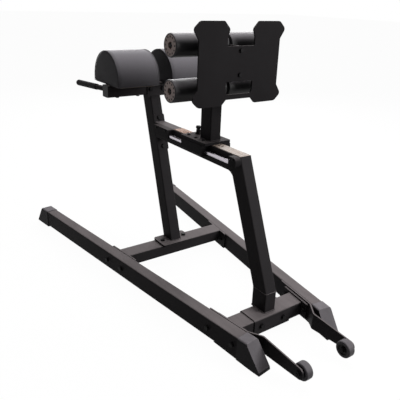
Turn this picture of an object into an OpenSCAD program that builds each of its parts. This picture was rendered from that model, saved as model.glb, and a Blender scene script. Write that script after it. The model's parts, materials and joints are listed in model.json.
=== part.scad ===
// Glute ham developer: splayed floor rails, two cross beams, a leaning mast with a slide tube,
// a carriage with ankle rollers and a foot plate, and a pair of hip pads with handles.
// Millimetres. +X is the hip pad end, +Y is left, +Z is up, and the floor is Z = 0.

/* [Side rails] */
// Length of each rail tube
rail_length = 1423; // [1350:1:1600]
// Width of the rail tube
rail_width = 50.8; // [44:0.1:60]
// Height of the rail tube
rail_height = 76.2; // [72:0.1:90]
// Wall of the rail tube
rail_wall = 3; // [2:0.5:4]
// Outer corner radius of the rail and beam tubes
tube_corner = 5; // [4.5:0.5:8]
// Angle by which each rail turns outwards towards the front
rail_splay = 7.85; // [5:0.05:10]
// Clear width between the rails at the rear beam
rail_gap = 333.8; // [320:0.2:380]
// Length of rail behind the middle of the rear beam
rail_rear_overhang = 121; // [118:1:150]
// Height of the rails' underside above the floor
rail_clearance = 12; // [10:0.5:20]

/* [Cross beams] */
// Width of each beam tube, along the machine
beam_width = 76.2; // [66:0.1:80]
// Height of the front beam tube
front_beam_height = 50.8; // [44:0.1:60]
// Height of the rear beam tube
rear_beam_height = 57; // [50:0.5:60]
// Depth of the rear beam's top below the tops of the rails
rear_beam_drop = 12.7; // [8:0.1:14]
// Wall of the beam tubes
beam_wall = 3; // [2:0.5:4]
// Distance from the rear beam to the front beam
beam_spacing = 639; // [600:1:680]
// Thickness of the front beam's end flanges
front_flange_thickness = 6; // [4:0.5:8]
// Length of the front beam's end flanges
front_flange_length = 172; // [150:1:190]
// Spacing of the front flange bolts
front_bolt_spacing = 104; // [104:1:125]
// Thickness of the rear beam's end flanges
rear_flange_thickness = 8; // [5:0.5:10]
// Length of the rear beam's end flanges
rear_flange_length = 142; // [142:1:148]
// Height of the rear beam's end flanges
rear_flange_height = 64; // [61:1:68]
// Spacing of the rear flange bolts
rear_bolt_spacing = 120; // [108:1:121]

/* [Boots] */
// Wall of the boots over the rail ends
boot_wall = 2.5; // [1.5:0.5:4]
// Length of rail inside a front boot
front_boot_sleeve = 55; // [40:1:80]
// Reach of a front boot past its rail
front_boot_nose = 54; // [35:1:70]
// Length of rail inside a rear boot
rear_boot_sleeve = 37; // [25:1:40]
// Reach of a rear boot past its rail
rear_boot_nose = 65; // [40:1:80]
// Flat top of each boot past its rail
boot_brow = 4; // [3:0.5:8]
// Height of the floor rim round a rear boot's heel
heel_rim = 3; // [1:0.5:5]
// Length of a rear boot's sole, from its heel to its thin end
sole_length = 215; // [190:1:240]
// Length of the flat part of a rear boot's sole
sole_flat = 25; // [15:1:40]
// Thickness of a rear boot's sole at its thin end
sole_tip = 1.5; // [1:0.5:3]
// Length of a front foot pad
foot_pad_length = 90; // [50:1:92]
// Thickness of a front foot pad
foot_pad_thickness = 7; // [5:0.5:8]
// Margin between a front foot pad and the edge of its boot
foot_pad_margin = 5; // [2:0.5:8]

/* [Transport wheels] */
// Thickness of a wheel bracket
bracket_thickness = 5; // [4:0.5:6]
// Length of a wheel bracket ahead of the rear beam's middle
bracket_front = 102; // [85:1:130]
// Distance behind the rear beam's middle where a bracket leaves its rail
joggle_start = 78; // [77:0.5:79]
// Distance behind the rear beam's middle where a bracket's arm starts
joggle_end = 125; // [115:1:140]
// Distance between the middles of the two wheel arms
arm_spacing = 242; // [220:1:250]
// Distance from the rear beam to the wheel axles
wheel_setback = 292; // [270:1:320]
// Height of the wheel axles above the floor
axle_height = 54; // [48:0.5:58]
// Radius of an arm's round end
arm_end_radius = 19; // [18:0.5:20]
// Height of an arm at its round end, above the floor
arm_tail_height = 74.5; // [73:0.5:77]
// Diameter of a wheel
wheel_diameter = 60; // [54:1:80]
// Width of a tyre
tyre_width = 29; // [22:0.5:32]
// Thickness of a tyre
tyre_thickness = 9; // [6:0.5:12]
// Diameter of the wheel axle bolts
axle_bolt = 10; // [8:1:12]

/* [Mast] */
// Width of the mast tubes
mast_width = 52; // [48:0.5:53]
// Depth of the mast tubes
mast_depth = 67.5; // [60:0.5:72]
// Wall of the mast tubes
mast_wall = 3; // [2:0.5:4]
// Outer corner radius of the mast tubes
mast_corner = 5; // [4.5:0.5:8]
// Thickness of the saddle that sits over the rear beam
saddle_thickness = 4; // [3:0.5:6]
// Length of the saddle along the rear beam
saddle_length = 172; // [150:1:200]
// Spacing of the saddle's bolts
saddle_bolt_spacing = 105; // [95:1:130]
// Depth of the saddle's bolts below the top of the rear beam
saddle_bolt_drop = 25.4; // [20:0.2:36]
// Distance from the rear beam's middle back to the stub's rear face
stub_setback = 22.5; // [15:0.5:30]
// Height of the stub between the saddle and the rear upright
stub_height = 76.5; // [50:0.5:100]
// Forward lean of the rear upright from vertical
rear_lean = 22.3; // [20:0.1:25]
// Height of the slide tube's top face above the floor
slide_height = 620; // [600:1:640]
// Leg of the gusset in the corner under the slide tube
gusset_leg = 26; // [12:1:40]
// Forward lean of the front upright from vertical
front_lean = 17.1; // [15:0.1:19]
// Distance from the front beam's middle back to the front upright's rear face
front_foot_setback = 27.3; // [20:0.1:32]
// Thickness of the front upright's base plate
base_plate_thickness = 8; // [5:0.5:12]
// Length of the base plate across the machine
base_plate_length = 156; // [145:1:180]
// Distance from the base plate's rear edge to the upright
base_plate_lead = 24; // [15:1:30]
// Distance from the upright to the base plate's front edge
base_plate_trail = 4; // [2:0.5:12]
// Spacing of the base plate's bolts
base_bolt_spacing = 112; // [86:1:122]
// Thickness of the slide tube's front flange
tube_flange_thickness = 6; // [4:0.5:8]
// Height of the slide tube's flange above the tube
tube_flange_up = 30; // [28:0.5:40]
// Depth of the slide tube's flange below the tube
tube_flange_down = 57; // [40:0.5:70]
// Distance of the flange's bolts from its ends
tube_flange_inset = 16.5; // [14:0.5:17]

/* [Slide] */
// Diameter of the guide rod
rod_diameter = 16; // [12:0.5:17]
// Distance of the guide rod from the middle of the slide tube
rod_offset = 39.5; // [39:0.5:41.5]
// Depth of the guide rod below the top of the slide tube
rod_drop = 27; // [24:0.5:28]
// Thickness of the blocks that hold the rod's ends
rod_block_width = 26; // [24:0.5:32]
// Height of the rod blocks
rod_block_height = 38; // [37:0.5:44]
// Length of the rear rod block
rear_block_length = 43; // [40:1:50]
// Length of the front rod block
front_block_length = 120; // [80:1:130]
// Gap between the front rod block and the slide tube's flange
front_block_gap = 25; // [10:1:40]
// Width of the scale strip
strip_width = 46; // [30:0.5:47]
// Thickness of the scale strip
strip_thickness = 1; // [0.5:0.1:1.5]
// Distance between the pin holes
pin_pitch = 20; // [18:0.5:22]
// Number of pin holes behind the rest position
holes_behind = 8; // [4:1:8]
// Number of pin holes ahead of the rest position
holes_ahead = 5; // [2:1:5]
// Diameter of the pull pin
pin_diameter = 10; // [8:0.5:12]

/* [Carriage] */
// Distance from the rear rod block to the bearing block at rest
carriage_rest = 151; // [145:1:156]
// Length of the carriage's top plate
carriage_length = 165; // [160:1:175]
// Width of the carriage's top plate
carriage_width = 124; // [123:0.5:135]
// Thickness of the carriage's top plate
carriage_thickness = 10; // [8:0.5:14]
// Running gap between the top plate and the scale strip
carriage_gap = 1; // [0.5:0.1:2]
// Length of the bearing block
bearing_length = 143; // [125:1:146]
// Width of the carriage's side blocks
bearing_width = 34; // [30:0.5:34]
// Height of the carriage's side blocks
bearing_height = 46; // [45:0.5:60]
// Length of a guide bush
bush_length = 30; // [15:0.5:40]
// Wall of a guide bush
bush_wall = 2; // [1:0.25:2.25]
// Lead of the top plate ahead of the side blocks, at the front
plate_front_lead = 3; // [1:0.5:8]
// Spacing of the carriage screws
carriage_screw_pitch = 48; // [38:1:50]
// Distance from the top plate's rear edge to the post
post_lead = 16; // [8:1:24]
// Width of the post
post_width = 50; // [44:0.5:50]
// Depth of the post
post_depth = 68; // [56:0.5:72]
// Distance from the post to the pull pin
pin_lead = 46.6; // [30:0.1:56]
// Height of the pull pin's barrel above the top plate
barrel_height = 18; // [16:0.5:24]
// Diameter of the pull pin's knob
knob_diameter = 21; // [18:0.5:30]
// Height of the pull pin's knob
knob_height = 16; // [12:0.5:24]
// Travel of the pull pin
pin_travel = 9; // [6:0.5:10]

/* [Ankle rollers] */
// Height of the middle between the rollers above the floor
roller_height = 918.4; // [890:0.2:950]
// Distance between the upper and the lower rollers' axes
roller_spacing = 152.4; // [135:0.1:170]
// Diameter of a foam roller
roller_diameter = 80.5; // [70:0.5:90]
// Length of a foam roller
roller_length = 221; // [180:1:230]
// Distance from the post back to the rollers' axes
roller_setback = 23.6; // [23:0.2:34]
// Diameter of the roller axles
axle_diameter = 16; // [12:0.5:18]
// Outer diameter of a roller's core tube
core_diameter = 30; // [28:0.5:36]
// Diameter of the rollers' end caps
cap_diameter = 71; // [50:0.5:74]
// Thickness of the rollers' end caps
cap_thickness = 3; // [2:0.5:5]
// Thickness of the web that carries the axles between the left and the right rollers
web_thickness = 8; // [6:0.5:10]
// Radius of the web round each axle
boss_radius = 22; // [16:0.5:23]
// Thickness of the plate that the foot plate is bolted to
back_plate_thickness = 8; // [6:0.5:12]
// Width of the plate that the foot plate is bolted to
back_plate_width = 58; // [30:1:90]
// Distance from a foot plate bolt to the end of the plate behind it
back_plate_margin = 14; // [10:0.5:16]
// Clearance round the rollers where they pass the post
post_relief = 2; // [1:0.5:4]

/* [Foot plate] */
// Gap between the rollers and the foot plate
foot_gap = 51.6; // [30:0.1:80]
// Rise of the foot plate's middle above the middle of the rollers
foot_plate_rise = 18.6; // [16:0.2:26]
// Thickness of the foot plate
foot_plate_thickness = 6; // [4:0.5:10]
// Height of the foot plate over its ears
foot_plate_height = 282; // [260:1:300]
// Width of the foot plate over its ears
foot_plate_width = 399; // [380:1:430]
// Width of the foot plate's waist
foot_plate_waist = 353; // [330:1:368]
// Width of the notches between the ears, at the web
notch_width = 119; // [100:1:140]
// Height of the web between the notches
web_height = 119.5; // [118:0.5:134]
// Height of a notch's straight side above the web
notch_side = 30; // [20:1:34]
// Reach of the ears over a notch
notch_undercut = 9.5; // [4:0.5:12]
// Depth of that reach below the top of an ear
undercut_drop = 26.5; // [24:0.5:32]
// Flare of a notch at the top of the ears
notch_flare = 15; // [12:0.5:20]
// Width of the cut at an ear's outer corner
ear_cut_width = 28; // [24:0.5:34]
// Height of the cut at an ear's outer corner
ear_cut_height = 26; // [22:0.5:30]
// Distance from the top of an ear down to the waist
waist_drop = 60; // [54:0.5:64]
// Height of the sill that closes the lower notch
sill_height = 17; // [10:0.5:20]
// Distance from the foot plate's lower edge up to the sill
sill_rise = 20; // [12:0.5:24]
// Spacing of the foot plate's bolts
foot_bolt_spacing = 82.5; // [60:0.5:90]
// Rise of the middle of the foot plate's bolts above the middle of the rollers
foot_bolt_rise = 22.2; // [20:0.2:24]

/* [Hip pads] */
// Radius of the pads' round top
pad_radius = 119.5; // [100:0.5:130]
// Height of the pads' straight sides
pad_side = 22.5; // [14:0.5:40]
// Distance of the pads' middle ahead of the pad bar's middle
pad_lead = 7; // [0:0.5:12]
// Length of a pad across the machine
pad_length = 198; // [180:1:220]
// Gap between the two pads
pad_gap = 58; // [50:1:80]
// Swell of a pad's cover at its middle
pad_crown = 1.5; // [0.5:0.5:4]
// Swell of a pad's end panels
pad_bulge = 2.5; // [1:0.5:4]
// Radius of a pad's sewn edges
pad_edge = 7; // [4:0.5:12]
// Thickness of the board in a pad
board_thickness = 12; // [9:0.5:18]
// Margin of cover round the board
board_margin = 11; // [8:0.5:16]
// Height of the pad bar's top above the floor
bar_height = 787.4; // [770:0.2:800]
// Width and height of the square pad bar
bar_size = 50.8; // [44:0.1:60]
// Wall of the pad bar
bar_wall = 3; // [2:0.5:4]
// Length of the pad bar
bar_length = 462; // [440:1:520]
// Distance from the upright's rear face back to the pad bar
bar_overhang = 6.2; // [2:0.2:12]
// Thickness of the bar bracket
bar_bracket_thickness = 6; // [4:0.5:8]
// Width of the bar bracket
bar_bracket_width = 92; // [84:1:110]
// Spacing of the bar bracket's bolts
bar_bolt_spacing = 60; // [50:1:64]

/* [Handles] */
// Diameter of a handle tube
handle_diameter = 22; // [20:0.5:24]
// Wall of a handle tube
handle_wall = 2.5; // [1.5:0.5:4]
// Thickness of a handle grip
grip_thickness = 2; // [1.5:0.25:4]
// Height of the handles above the pad bar's middle
handle_rise = 4; // [0:0.5:9]
// Length of a handle from the pad bar to its tip
handle_length = 214; // [170:1:240]
// Length of a handle grip
grip_length = 150; // [110:1:160]
// Outward angle of the handles
handle_splay = 10.9; // [0:0.1:15]
// Distance from the bar's end to a handle's middle
handle_inset = 14; // [13.5:0.5:20]

/* [Fasteners] */
// Diameter of the frame bolts
frame_bolt = 10; // [8:1:10]
// Diameter of the pad bolts, carriage screws and rod block screws
small_bolt = 8; // [6:1:8]
// Radial clearance of a bolt in its hole
bolt_clearance = 0.3; // [0.2:0.1:0.5]
// Radial clearance of what slides or turns
running_clearance = 0.06; // [0.03:0.01:0.1]
// Gap between faces that pass each other
side_gap = 0.3; // [0.2:0.05:0.5]

/* [Hidden] */
$fn = 48;
LEFT = 1;
RIGHT = -1;
SIDES = [LEFT, RIGHT];
FAR = 3000;
black = [0.11, 0.11, 0.12];
soft_black = [0.17, 0.17, 0.18];
vinyl = [0.22, 0.22, 0.23];
foam = [0.08, 0.08, 0.09];
steel = [0.75, 0.76, 0.78];
rubber = [0.14, 0.14, 0.14];
zinc = [0.35, 0.35, 0.36];
tan_strip = [0.80, 0.62, 0.48];
cap_colour = [0.52, 0.42, 0.40];
wood = [0.70, 0.55, 0.38];

// The machine's two ends, which set the origin halfway between them
front_tip = rail_length - rail_rear_overhang + front_boot_nose;
front_reach = front_tip * cos(rail_splay) + boot_wall * sin(rail_splay);
rear_reach = wheel_setback + wheel_diameter / 2;
rear_beam_x = (rear_reach - front_reach) / 2;
front_beam_x = rear_beam_x + beam_spacing;

// Heights of the base frame
rail_top = rail_clearance + rail_height;
rear_beam_top = rail_top - rear_beam_drop;
rear_beam_bottom = rear_beam_top - rear_beam_height;
front_beam_bottom = rail_top - front_beam_height;
bolt_level = rail_height / 2;
front_station = beam_spacing / cos(rail_splay);
rear_stack = bracket_thickness + rear_flange_thickness;
bolt_hole = frame_bolt / 2 + bolt_clearance;
screw_hole = small_bolt / 2 + bolt_clearance;

// Mast
saddle_top = rear_beam_top + saddle_thickness;
stub_x = rear_beam_x - stub_setback;
stub_top = saddle_top + stub_height;
rear_depth = mast_depth / cos(rear_lean);
slide_bottom = slide_height - mast_depth;
corner_top_x = rear_face(slide_height);
corner_low_x = rear_face(slide_bottom) + rear_depth;
base_top = rail_top + base_plate_thickness;
front_depth = mast_depth / cos(front_lean);
tube_flange_run = tube_flange_thickness / cos(front_lean);
bar_bottom = bar_height - bar_size;
upright_top = bar_bottom - bar_bracket_thickness;
bar_rear_x = front_face(upright_top) - bar_overhang;
bar_x = bar_rear_x + bar_size / 2;

// Slide and carriage
rod_z = slide_height - rod_drop;
rod_block_bottom = slide_height - rod_block_height;
block_screw_z = slide_height - 8.5;
rear_block_x = corner_top_x - 8;
rear_block_front = rear_block_x + rear_block_length;
front_block_front = front_face(rod_z) - tube_flange_run - front_block_gap;
front_block_x = front_block_front - front_block_length;
strip_x = corner_top_x + 2;
strip_length = front_block_x - 2 - strip_x;
bearing_x = rear_block_front + carriage_rest;
plate_x = bearing_x + bearing_length + plate_front_lead - carriage_length;
plate_z = slide_height + strip_thickness + carriage_gap;
plate_top = plate_z + carriage_thickness;
bearing_y = mast_width / 2 + 1.5;
bush_outer = rod_diameter / 2 + running_clearance + bush_wall;
post_x = plate_x + post_lead;
pin_x = post_x + post_depth + pin_lead;
pin_hole = pin_diameter / 2 + 0.2;
pin_tip_z = slide_height - 6.8;
barrel_radius = pin_diameter / 2 + 4;
barrel_bore = barrel_radius - 1.5;
barrel_top = plate_top + barrel_height;
collar_z = plate_z + 3;
collar_height = 2;
spring_top = barrel_top - 2.5;
spring_wire = 1.1;
spring_turns = 7;

// Ankle rollers and foot plate
axis_x = post_x - roller_setback;
upper_axis_z = roller_height + roller_spacing / 2;
lower_axis_z = roller_height - roller_spacing / 2;
AXES_Z = [upper_axis_z, lower_axis_z];
collar_width = 1;
roller_y = web_thickness / 2 + collar_width + side_gap;
roller_end = roller_y + roller_length;
cap_recess = 1;
axle_radius = axle_diameter / 2;
axle_end = roller_end - 9;
foot_plate_x = axis_x - roller_diameter / 2 - foot_gap;
foot_plate_z = roller_height + foot_plate_rise;
foot_bolts_middle = roller_height + foot_bolt_rise;
back_plate_half = foot_bolt_spacing / 2 + back_plate_margin;
post_cap_thickness = 3;
post_top = upper_axis_z - roller_diameter / 2 - post_relief - post_cap_thickness;

// Hip pads and handles
pad_y = (pad_gap + pad_length) / 2;
handle_y = bar_length / 2 - handle_inset;
bar_middle_z = bar_height - bar_size / 2;
handle_z = bar_middle_z + handle_rise;
pad_x = bar_x + pad_lead;

// Rear face of the rear upright at height z
function rear_face(z) = stub_x + (z - stub_top) * tan(rear_lean);
// Rear face of the front upright at height z
function front_face(z) = front_beam_x - front_foot_setback + (z - base_top) * tan(front_lean);

function unit(v) = v / norm(v);
function turn(a) = a > 180 ? a - 360 : (a < -180 ? a + 360 : a);
// Arc of radius r that rounds the corner b of the path a, b, c
function fillet(a, b, c, r, n) = r == 0 ? [b] :
    let (u = unit(a - b), v = unit(c - b), half = acos(u * v) / 2,
         m = b + unit(u + v) * r / sin(half),
         p = b + u * r / tan(half) - m, q = b + v * r / tan(half) - m,
         start = atan2(p.y, p.x), sweep = turn(atan2(q.y, q.x) - start))
    [for (i = [0:n]) m + r * [cos(start + sweep * i / n), sin(start + sweep * i / n)]];
// Closed outline with rounded corners
function rounded(p, radii, n = 6) = [for (i = [0:len(p) - 1])
    each fillet(p[(i + len(p) - 1) % len(p)], p[i], p[(i + 1) % len(p)], radii[i], n)];
// Open path with rounded bends
function rounded_path(p, r, n = 6) = [
    p[0], for (i = [1:len(p) - 2]) each fillet(p[i - 1], p[i], p[i + 1], r, n), p[len(p) - 1]];
function left_normal(a, b) = let (t = unit(b - a)) [-t.y, t.x];
// Path moved sideways by d, with mitred bends
function beside(p, d) = let (last = len(p) - 1) [for (i = [0:last])
    let (before = left_normal(p[max(i - 1, 0)], p[max(i, 1)]),
         after = left_normal(p[min(i, last - 1)], p[min(i + 1, last)]))
    p[i] + d * (before + after) / (1 + before * after)];
// Outline of a strip of sheet metal along a path
function strip_outline(p, t) = let (low = beside(p, -t / 2), last = len(p) - 1)
    concat(beside(p, t / 2), [for (i = [last:-1:0]) low[i]]);

// Extrudes an outline of x and z across the machine
module across(width) rotate([90, 0, 0]) translate([0, 0, -width / 2]) linear_extrude(width) children();
// Extrudes an outline of y and z along the machine
module along(length) rotate([90, 0, 90]) linear_extrude(length) children();
// Puts a left-hand shape on the given side
module sided(side) if (side == LEFT) children(); else mirror([0, 1, 0]) children();
// Frame of a rail: x along it, y outwards from its inner face, z up from its underside
module on_rail(side)
    sided(side) translate([rear_beam_x, rail_gap / 2, rail_clearance]) rotate([0, 0, rail_splay]) children();
// Ring between two radii
module ring(outer, inner, height) difference() {
    cylinder(r = outer, h = height);
    translate([0, 0, -1]) cylinder(r = inner, h = height + 2);
}
// Rectangle from the corner a to the corner b, with corners of radius r
module rounded_box(a, b, r) {
    translate([a.x + r, a.y]) square([b.x - a.x - 2 * r, b.y - a.y]);
    translate([a.x, a.y + r]) square([b.x - a.x, b.y - a.y - 2 * r]);
    for (x = [a.x + r, b.x - r], y = [a.y + r, b.y - r]) translate([x, y]) circle(r = r);
}
// Section of a rectangular tube from the corner a to the corner b
module tube_section(a, b, wall, corner) difference() {
    rounded_box(a, b, corner);
    rounded_box(a + [wall, wall], b - [wall, wall], corner - wall);
}
// Bolt along z through a stack from z = 0 to z = grip, with its head on top
module through_bolt(d, grip) {
    washer = 0.16 * d;
    translate([0, 0, grip]) cylinder(d = 2 * d, h = washer);
    translate([0, 0, grip + washer]) cylinder(d = 1.9 * d, h = 0.65 * d, $fn = 6);
    translate([0, 0, -washer]) cylinder(d = 2 * d, h = washer);
    translate([0, 0, -washer - 0.8 * d]) cylinder(d = 1.9 * d, h = 0.8 * d, $fn = 6);
    translate([0, 0, -washer - 1.1 * d]) cylinder(d = d, h = grip + 2 * washer + 1.1 * d);
}
// Button-head screw along z, with its head above z = 0
module button_screw(d, length) difference() {
    union() {
        translate([0, 0, -length]) cylinder(d = d, h = length);
        rotate_extrude() polygon(rounded([[0, 0], [0.85 * d, 0], [0.85 * d, 0.5 * d], [0, 0.5 * d]],
                                         [0, 0, 0.3 * d, 0]));
    }
    translate([0, 0, 0.2 * d]) cylinder(d = 0.6 * d, h = d, $fn = 6);
}
// Solid through a row of rings with as many points each, closed by a fan at each end
module skin(rings, first, last) {
    n = len(rings[0]);
    m = len(rings);
    end = n * m + 1;
    points = concat([first], [for (r = rings) each r], [last]);
    faces = concat(
        [for (j = [0:n - 1]) [0, 1 + j, 1 + (j + 1) % n]],
        [for (i = [0:m - 2], j = [0:n - 1], half = [0, 1])
            let (a = 1 + i * n + j, b = 1 + i * n + (j + 1) % n)
            half == 0 ? [a, a + n, b] : [b, a + n, b + n]],
        [for (j = [0:n - 1]) [end, end - n + (j + 1) % n, end - n + j]]);
    polyhedron(points, faces);
}

// Side rails

module rail(side) color(black) on_rail(side) difference() {
    translate([-rail_rear_overhang, 0, 0]) along(rail_length)
        tube_section([0, 0], [rail_width, rail_height], rail_wall, tube_corner);
    for (s = rail_bolt_stations()) translate([s, -1, bolt_level]) rotate([-90, 0, 0])
        cylinder(r = bolt_hole, h = rail_width + 2);
}
module left_rail() rail(LEFT);
module right_rail() rail(RIGHT);

function rail_bolt_stations() = [
    front_station - front_bolt_spacing / 2, front_station + front_bolt_spacing / 2,
    -rear_bolt_spacing / 2, rear_bolt_spacing / 2];

// Moulded sleeve and nose round a rail's end, from a side outline of the boot
module boot_body(side, outline, bottom, cavity_start) color(rubber) on_rail(side) difference() {
    intersection() {
        translate([0, rail_width / 2, 0]) across(FAR) polygon(outline);
        translate([-FAR, 0, 0]) along(2 * FAR) polygon(rounded(
            [[-boot_wall, bottom], [rail_width + boot_wall, bottom],
             [rail_width + boot_wall, rail_height + boot_wall], [-boot_wall, rail_height + boot_wall]],
            [2, 2, tube_corner + boot_wall, tube_corner + boot_wall]));
    }
    translate([cavity_start, 0, 0]) along(rail_length)
        rounded_box([0, 0], [rail_width, rail_height], tube_corner);
}
module front_boot(side) {
    top = rail_height + boot_wall;
    bottom = foot_pad_thickness - rail_clearance;
    end = rail_length - rail_rear_overhang;
    boot_body(side, rounded(
        [[end - front_boot_sleeve, bottom], [front_tip - 2, bottom], [front_tip, bottom + 3],
         [end + boot_brow, top], [end - front_boot_sleeve, top]],
        [0, 1, 2, 4, 0.8]), bottom, end - rail_length);
}
module left_front_boot() front_boot(LEFT);
module right_front_boot() front_boot(RIGHT);

module rear_boot(side) {
    top = rail_height + boot_wall;
    end = -rail_rear_overhang;
    heel = end - rear_boot_nose - heel_rim;
    tip = heel + sole_length;
    sleeve = end + rear_boot_sleeve;
    rise = (rail_clearance - sole_tip) / (sole_length - sole_flat);
    sleeve_bottom = -rail_clearance + (sleeve - heel - sole_flat) * rise;
    boot_body(side, rounded(
        [[sleeve, sleeve_bottom], [sleeve, top], [end - boot_brow, top], [end - rear_boot_nose, 0],
         [heel, -rail_clearance], [heel + sole_flat, -rail_clearance]],
        [0, 0.8, 4, 6, 2.5, 0]), -rail_clearance, end);
    color(rubber) on_rail(side) translate([0, rail_width / 2, 0]) across(rail_width) polygon(
        [[sleeve - 5, 0], [sleeve - 5, sleeve_bottom - 5 * rise], [tip, -sole_tip], [tip, 0]]);
}
module left_rear_boot() rear_boot(LEFT);
module right_rear_boot() rear_boot(RIGHT);

module front_foot_pads() color(rubber) for (side = SIDES) on_rail(side)
    translate([front_tip - 2 - foot_pad_margin - foot_pad_length, foot_pad_margin, -rail_clearance])
        linear_extrude(foot_pad_thickness) rounded_box(
            [0, 0], [foot_pad_length, rail_width - 2 * foot_pad_margin], 8);

// Cross beams

// Beam tube at the station x, cut to meet a flange or bracket stack on both rails
module beam(x, bottom, height, stack) difference() {
    translate([x, 0, bottom]) across(rail_gap + 2 * rail_length * sin(rail_splay))
        tube_section([-beam_width / 2, 0], [beam_width / 2, height], beam_wall, tube_corner);
    for (side = SIDES) on_rail(side) translate([-FAR, -stack, -FAR]) cube(2 * FAR);
}
module front_beam() color(black) difference() {
    beam(front_beam_x, front_beam_bottom, front_beam_height, front_flange_thickness);
    for (side = SIDES) translate([front_beam_x, side * base_bolt_spacing / 2, 0])
        cylinder(r = bolt_hole, h = FAR);
}
module rear_beam() color(black) difference() {
    beam(rear_beam_x, rear_beam_bottom, rear_beam_height, rear_stack);
    for (side = SIDES) translate([rear_beam_x - FAR / 2, side * saddle_bolt_spacing / 2, saddle_bolt_z])
        rotate([0, 90, 0]) cylinder(r = bolt_hole, h = FAR);
}
saddle_bolt_z = rear_beam_top - saddle_bolt_drop;

// Plate against a rail, or against what lies on it, with two bolt holes
module flange(station, length, low, high, out, thickness, spacing) difference() {
    translate([station, out - thickness / 2, 0]) across(thickness) rounded_box(
        [-length / 2, low], [length / 2, high], 6);
    for (end = [-1, 1]) translate([station + end * spacing / 2, -FAR / 2, bolt_level])
        rotate([-90, 0, 0]) cylinder(r = bolt_hole, h = FAR);
}
module beam_flanges() color(black) for (side = SIDES) on_rail(side) {
    flange(front_station, front_flange_length, 0, rail_height, 0, front_flange_thickness,
           front_bolt_spacing);
    flange(0, rear_flange_length, bolt_level - rear_flange_height / 2,
           bolt_level + rear_flange_height / 2, -bracket_thickness, rear_flange_thickness,
           rear_bolt_spacing);
}

module rail_bolts() color(zinc) for (side = SIDES) on_rail(side) for (i = [0:3]) {
    stack = i < 2 ? front_flange_thickness : rear_stack;
    translate([rail_bolt_stations()[i], -stack, bolt_level]) rotate([-90, 0, 0])
        through_bolt(frame_bolt, rail_width + stack);
}

// Transport wheels

// Middle line of a wheel bracket, seen from above, from its front end to the wheel
function bracket_path() = rounded_path([
    rail_point(bracket_front), rail_point(-joggle_start),
    [rear_beam_x - joggle_end, arm_spacing / 2],
    [rear_beam_x - wheel_setback - arm_end_radius, arm_spacing / 2]], 10);
// Point in the middle of the bracket's sheet where it lies on the left rail
function rail_point(s) = [rear_beam_x, rail_gap / 2]
    + s * [cos(rail_splay), sin(rail_splay)]
    + bracket_thickness / 2 * [sin(rail_splay), -cos(rail_splay)];

module wheel_bracket(side) color(black) sided(side) difference() {
    intersection() {
        linear_extrude(rail_top) polygon(strip_outline(bracket_path(), bracket_thickness));
        translate([rear_beam_x, 0, 0]) across(FAR) polygon(rounded(
            [[bracket_front + 20, rear_beam_bottom], [bracket_front + 20, rail_top],
             [-joggle_start, rail_top], [-joggle_end, rail_top - 2.5],
             [-wheel_setback - arm_end_radius, arm_tail_height],
             [-wheel_setback - arm_end_radius, axle_height - arm_end_radius],
             [-joggle_start, rear_beam_bottom]],
            [0, 0, 20, 20, arm_end_radius * 0.9, arm_end_radius * 0.9, 20], 8));
    }
    translate([rear_beam_x - wheel_setback, 0, axle_height]) rotate([-90, 0, 0])
        cylinder(d = axle_bolt, h = FAR);
    on_rail(LEFT) for (end = [-1, 1]) translate([end * rear_bolt_spacing / 2, -FAR / 2, bolt_level])
        rotate([-90, 0, 0]) cylinder(r = bolt_hole, h = FAR);
}
module left_wheel_bracket() wheel_bracket(LEFT);
module right_wheel_bracket() wheel_bracket(RIGHT);

wheel_outer_y = arm_spacing / 2 - bracket_thickness / 2 - 4.5;
wheel_inner_y = wheel_outer_y - tyre_width;
hub_radius = wheel_diameter / 2 - tyre_thickness;

// Frame of a wheel: z along its axle, from the tyre's inner face outwards
module on_wheel(side) sided(side)
    translate([rear_beam_x - wheel_setback, wheel_inner_y, axle_height]) rotate([-90, 0, 0]) children();
module wheel_hub(side) color(soft_black) on_wheel(side) difference() {
    union() {
        cylinder(r = hub_radius, h = tyre_width);
        cylinder(r = axle_bolt, h = tyre_width + 4.5 - side_gap);
    }
    translate([0, 0, -1]) cylinder(r = axle_bolt / 2 + running_clearance, h = tyre_width + 10);
    for (face = [-1, tyre_width - 3]) translate([0, 0, face]) ring(hub_radius - 3, axle_bolt + 2, 4);
}
module left_wheel_hub() wheel_hub(LEFT);
module right_wheel_hub() wheel_hub(RIGHT);

module wheel_tyre(side) color(rubber) on_wheel(side) rotate_extrude() polygon(rounded(
    [[hub_radius, 0], [wheel_diameter / 2, 0], [wheel_diameter / 2, tyre_width], [hub_radius, tyre_width]],
    [0, 5, 5, 0]));
module left_wheel_tyre() wheel_tyre(LEFT);
module right_wheel_tyre() wheel_tyre(RIGHT);

module wheel_axle_bolts() color(zinc) for (side = SIDES) on_wheel(side) {
    grip = tyre_width + 4.5 + bracket_thickness;
    translate([0, 0, -side_gap - 3]) cylinder(d = 1.8 * axle_bolt, h = 3);
    translate([0, 0, -side_gap - 8]) cylinder(d = 1.7 * axle_bolt, h = 5, $fn = 6);
    translate([0, 0, -side_gap - 3]) cylinder(d = axle_bolt, h = grip + side_gap + 15);
    translate([0, 0, grip]) cylinder(d = 1.9 * axle_bolt, h = 9, $fn = 6);
}

// Mast

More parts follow.
